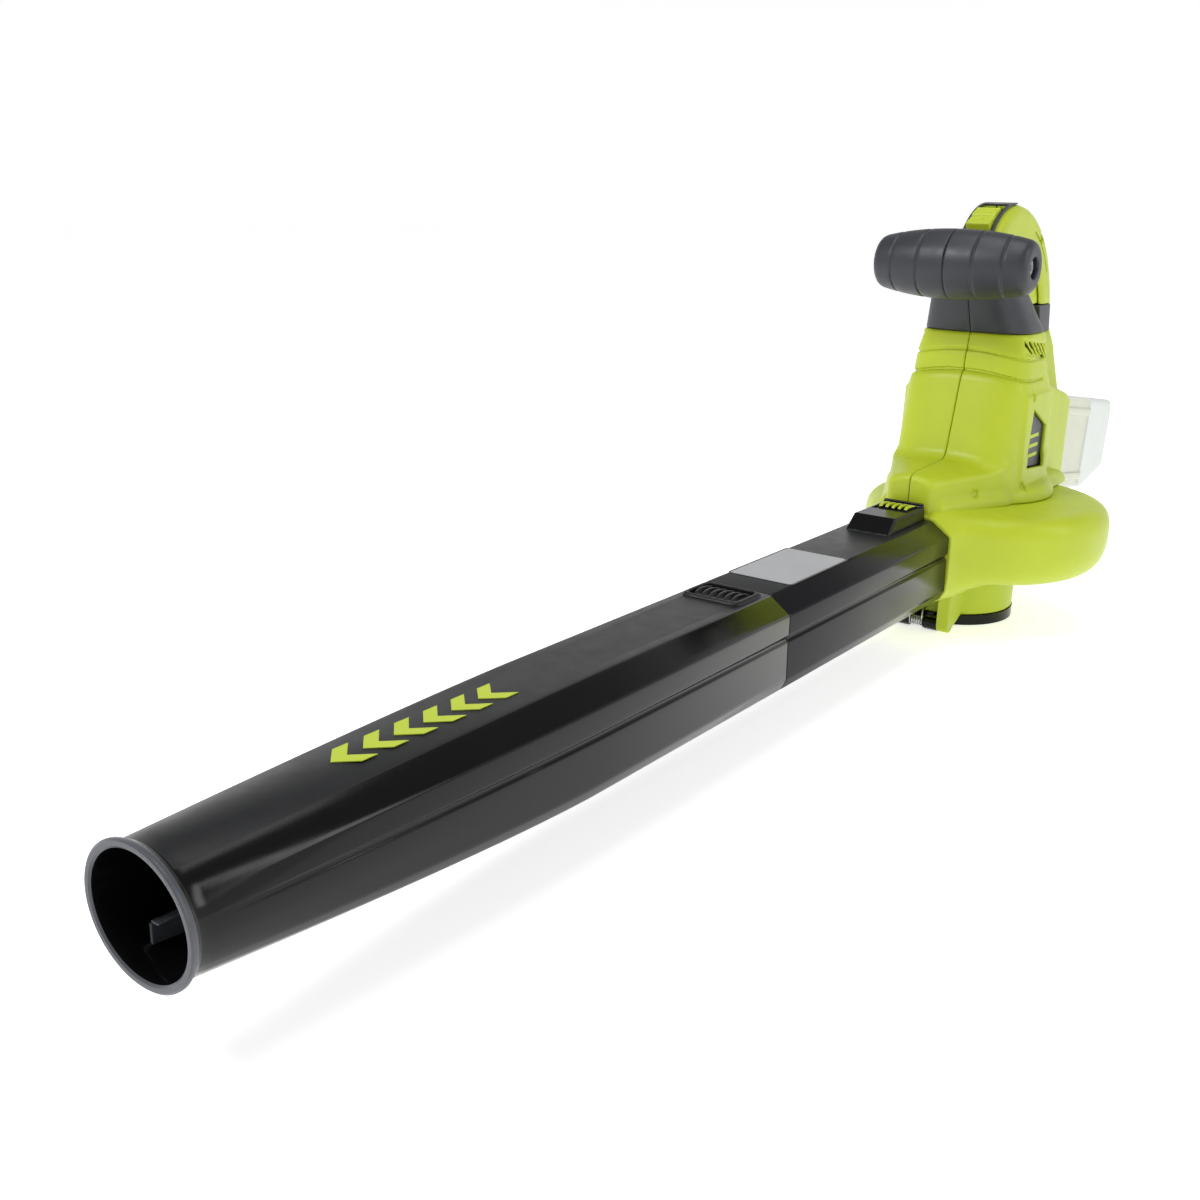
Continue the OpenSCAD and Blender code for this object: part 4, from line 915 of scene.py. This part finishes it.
# ---------------------------------------------------------------- battery
def battery():
    f = Field((-PACK_W / 2 - 4, -PACK_IN - 3, -PACK_H / 2 - 3), (PACK_W / 2 + 4, PACK_OUT + 3, PACK_H / 2 + 3),
              PACK_STEP)
    x, y, z = f.x, f.y, f.z
    side = polygon_field(y, z, [(-PACK_IN, -PACK_H * 0.26), (-2, -PACK_H * 0.26), (-2, -PACK_H / 2),
                                (PACK_OUT * 0.6, -PACK_H / 2), (PACK_OUT, -PACK_H * 0.27), (PACK_OUT, PACK_H / 2 - 8),
                                (PACK_OUT - 5, PACK_H / 2), (-PACK_IN, PACK_H / 2)])
    solid = soft_max(side, np.abs(x) - PACK_W / 2, 6)
    # the frame end is slimmer, with two round-ended ribs on each side
    solid = soft_max(solid, -np.maximum(PACK_W / 2 - 1.3 - np.abs(x), np.abs(y - 30) - 42), 1.5)
    for level in (-PACK_H * 0.36, PACK_H * 0.34):
        reach = np.clip(y, 8, 74)
        rib = np.sqrt((y - reach) ** 2 + (z - level) ** 2) - 3.2
        rib = soft_max(rib, np.abs(x) - PACK_W / 2 - 0.9, 1.5)
        solid = soft_min(solid, rib, 1.0)
    shell = np.maximum(solid, -(solid + 2.4))
    shell = np.maximum(shell, -box_field(x, y, z, (0, 8, PACK_H / 2), (10.4, 7.4, 4)))
    piece = field_piece("battery_shell", f, shell, "battery", FINISH["pack_plastic"],
                        ("battery_case",), keep=0.35)
    tilt = Matrix.Translation(Vector((0, BAY_Y, BAY_Z)) * MM) @ Matrix.Rotation(-DROOP, 4, "X")
    # The sides of the slim end by the bay get the darker yellow-green colour: painted shade and painted green bounce
    # light from the housing round them.
    piece.data.materials.append(PACK_SIDE_SHADE)
    for face in piece.data.polygons:
        centre = face.center / MM
        if abs(centre.x) > PACK_W / 2 - 2.2 and centre.y < 72 and abs(centre.z) < PACK_H / 2 - 2:
            face.material_index = 1
    piece.data.transform(tilt)


# ---------------------------------------------------------------- small pieces
ROUNDED_NODES = {
    "trigger": ("trigger", "green_plastic", 1.6), "speed_switch": ("speed_switch", "green_plastic", 0.7),
    "switch_bezel": ("housing", "dark_plastic", 0.5), "rear_grip_pad": ("housing", "dark_plastic", 1.2),
    "side_badge": ("housing", "dark_plastic", 0.3), "inlet_cover": ("cover", "black_plastic", 0.5),
    "cover_latch": ("cover_latch", "black_plastic", 0.6), "battery_latch": ("battery_latch", "pack_plastic", 0.12),
    "safety_switch": ("housing", "black_plastic", 0.5),
}


def small_pieces():
    """Rounds the edges of small CAD nodes. Each row gives the body, the slot and the bevel's width."""
    for node, (body, slot, width) in ROUNDED_NODES.items():
        softened(node, body, FINISH[slot], width)


def battery_spring():
    """The battery latch's spring, a softened copy with a mesh of its own."""
    spring = softened("battery_latch_spring", "battery", FINISH["steel"], 0.04)
    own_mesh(spring)


def hinge_wire():
    """The cover's torsion spring: a helix round the pin with two free legs."""
    curve = bpy.data.curves.new("cover_spring", "CURVE")
    curve.dimensions = "3D"
    curve.bevel_depth = 0.55 * MM
    curve.bevel_resolution = 3
    turns, radius, steps = 5, 3.3, 24
    route = [(-5, HINGE_Y + 3, 16), (-5, HINGE_Y - 3, 15), (-5, HINGE_Y - radius, HINGE_Z + 3)]
    for i in range(turns * steps + 1):
        a = math.pi + 2 * math.pi * i / steps
        route.append((-5 + 10 * i / (turns * steps), HINGE_Y + radius * math.cos(a), HINGE_Z + radius * math.sin(a)))
    route += [(5, HINGE_Y - radius, HINGE_Z + 3), (5, HINGE_Y - 3, 15), (5, HINGE_Y + 3, 16)]
    spline = curve.splines.new("POLY")
    spline.points.add(len(route) - 1)
    for point, place_at in zip(spline.points, route):
        point.co = (*(c * MM for c in place_at), 1)
    curve.materials.append(FINISH["steel"])
    piece = bpy.data.objects.new("cover_spring", curve)
    bpy.context.scene.collection.objects.link(piece)
    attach(piece, "housing")
    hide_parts("hinge_spring")


# ---------------------------------------------------------------- camera, floor and light
def camera():
    azimuth, elevation, roll = (math.radians(a) for a in (36.587, 17.41, 0.987))
    flat = math.cos(elevation)
    forward = Vector((-math.sin(azimuth) * flat, math.cos(azimuth) * flat, -math.sin(elevation)))
    level = forward.cross(Vector((0, 0, 1))).normalized()
    rise = level.cross(forward)
    right = level * math.cos(roll) + rise * math.sin(roll)
    up = rise * math.cos(roll) - level * math.sin(roll)
    data = bpy.data.cameras.new("camera")
    data.sensor_width = 36
    data.lens = 39.2
    data.clip_start = 0.01
    eye = bpy.data.objects.new("camera", data)
    eye.matrix_world = Matrix((right, up, -forward)).transposed().to_4x4()
    eye.location = (0.379, -0.992, 0.321)
    bpy.context.scene.collection.objects.link(eye)
    bpy.context.scene.camera = eye


def area_light(name, at, towards, size, power):
    data = bpy.data.lights.new(name, "AREA")
    data.shape = "RECTANGLE"
    data.size, data.size_y = size
    data.energy = power
    light = bpy.data.objects.new(name, data)
    light.location = at
    light.rotation_euler = (Vector(towards) - Vector(at)).to_track_quat("-Z", "Y").to_euler()
    bpy.context.scene.collection.objects.link(light)


def studio():
    low = CAD_BOX[0][2]
    mesh = bpy.data.meshes.new("floor")
    reach = 9.0
    corners = [(-reach, -reach, low), (reach, -reach, low), (reach, reach, low), (-reach, reach, low)]
    mesh.from_pydata(corners, [], [(0, 1, 2, 3)])
    floor = bpy.data.objects.new("floor", mesh)
    bpy.context.scene.collection.objects.link(floor)
    material, tree, shader, at = node_tree("pale floor")
    tree.links.new(ramp(tree, noise(tree, at, 3, 2), (0.86, 0.86, 0.86), (0.9, 0.9, 0.9)), shader.inputs["Base Color"])
    shader.inputs["Roughness"].default_value = 0.8
    shader.inputs["Emission Color"].default_value = (1, 1, 1, 1)
    shader.inputs["Emission Strength"].default_value = 0.62
    shader.inputs["Specular IOR Level"].default_value = 0.1
    mesh.materials.append(material)
    world = bpy.data.worlds.new("studio")
    world.use_nodes = True
    sky = world.node_tree
    rise = sky.nodes.new("ShaderNodeSeparateXYZ")
    sky.links.new(sky.nodes.new("ShaderNodeTexCoord").outputs["Generated"], rise.inputs["Vector"])
    fade = sky.nodes.new("ShaderNodeMapRange")
    for socket, value in (("From Min", 0.12), ("From Max", 0.62), ("To Min", 1.0), ("To Max", 0.3)):
        fade.inputs[socket].default_value = value
    sky.links.new(rise.outputs["Z"], fade.inputs["Value"])
    sky.links.new(fade.outputs["Result"], sky.nodes["Background"].inputs["Strength"])
    sky.nodes["Background"].inputs["Color"].default_value = (1, 1, 1, 1)
    bpy.context.scene.world = world
    bpy.context.scene.view_settings.view_transform = "Standard"
    area_light("key", (-0.7, -1.5, 1.5), (0, -0.1, 0.15), (0.5, 0.5), 15)
    area_light("rim", (1.5, 0.3, 1.1), (0, 0, 0.2), (0.35, 1.2), 6)
    area_light("top", (0.0, -0.3, 2.2), (0, -0.2, 0), (1.2, 2.0), 17)


dress_frame()
camera()
studio()
housing()
badge_mark()
front_grip()
drum()
upper_tube()
latch_block()
lower_tube()
joint_window()
tube_latch()
label()
battery()
small_pieces()
battery_spring()
hinge_wire()
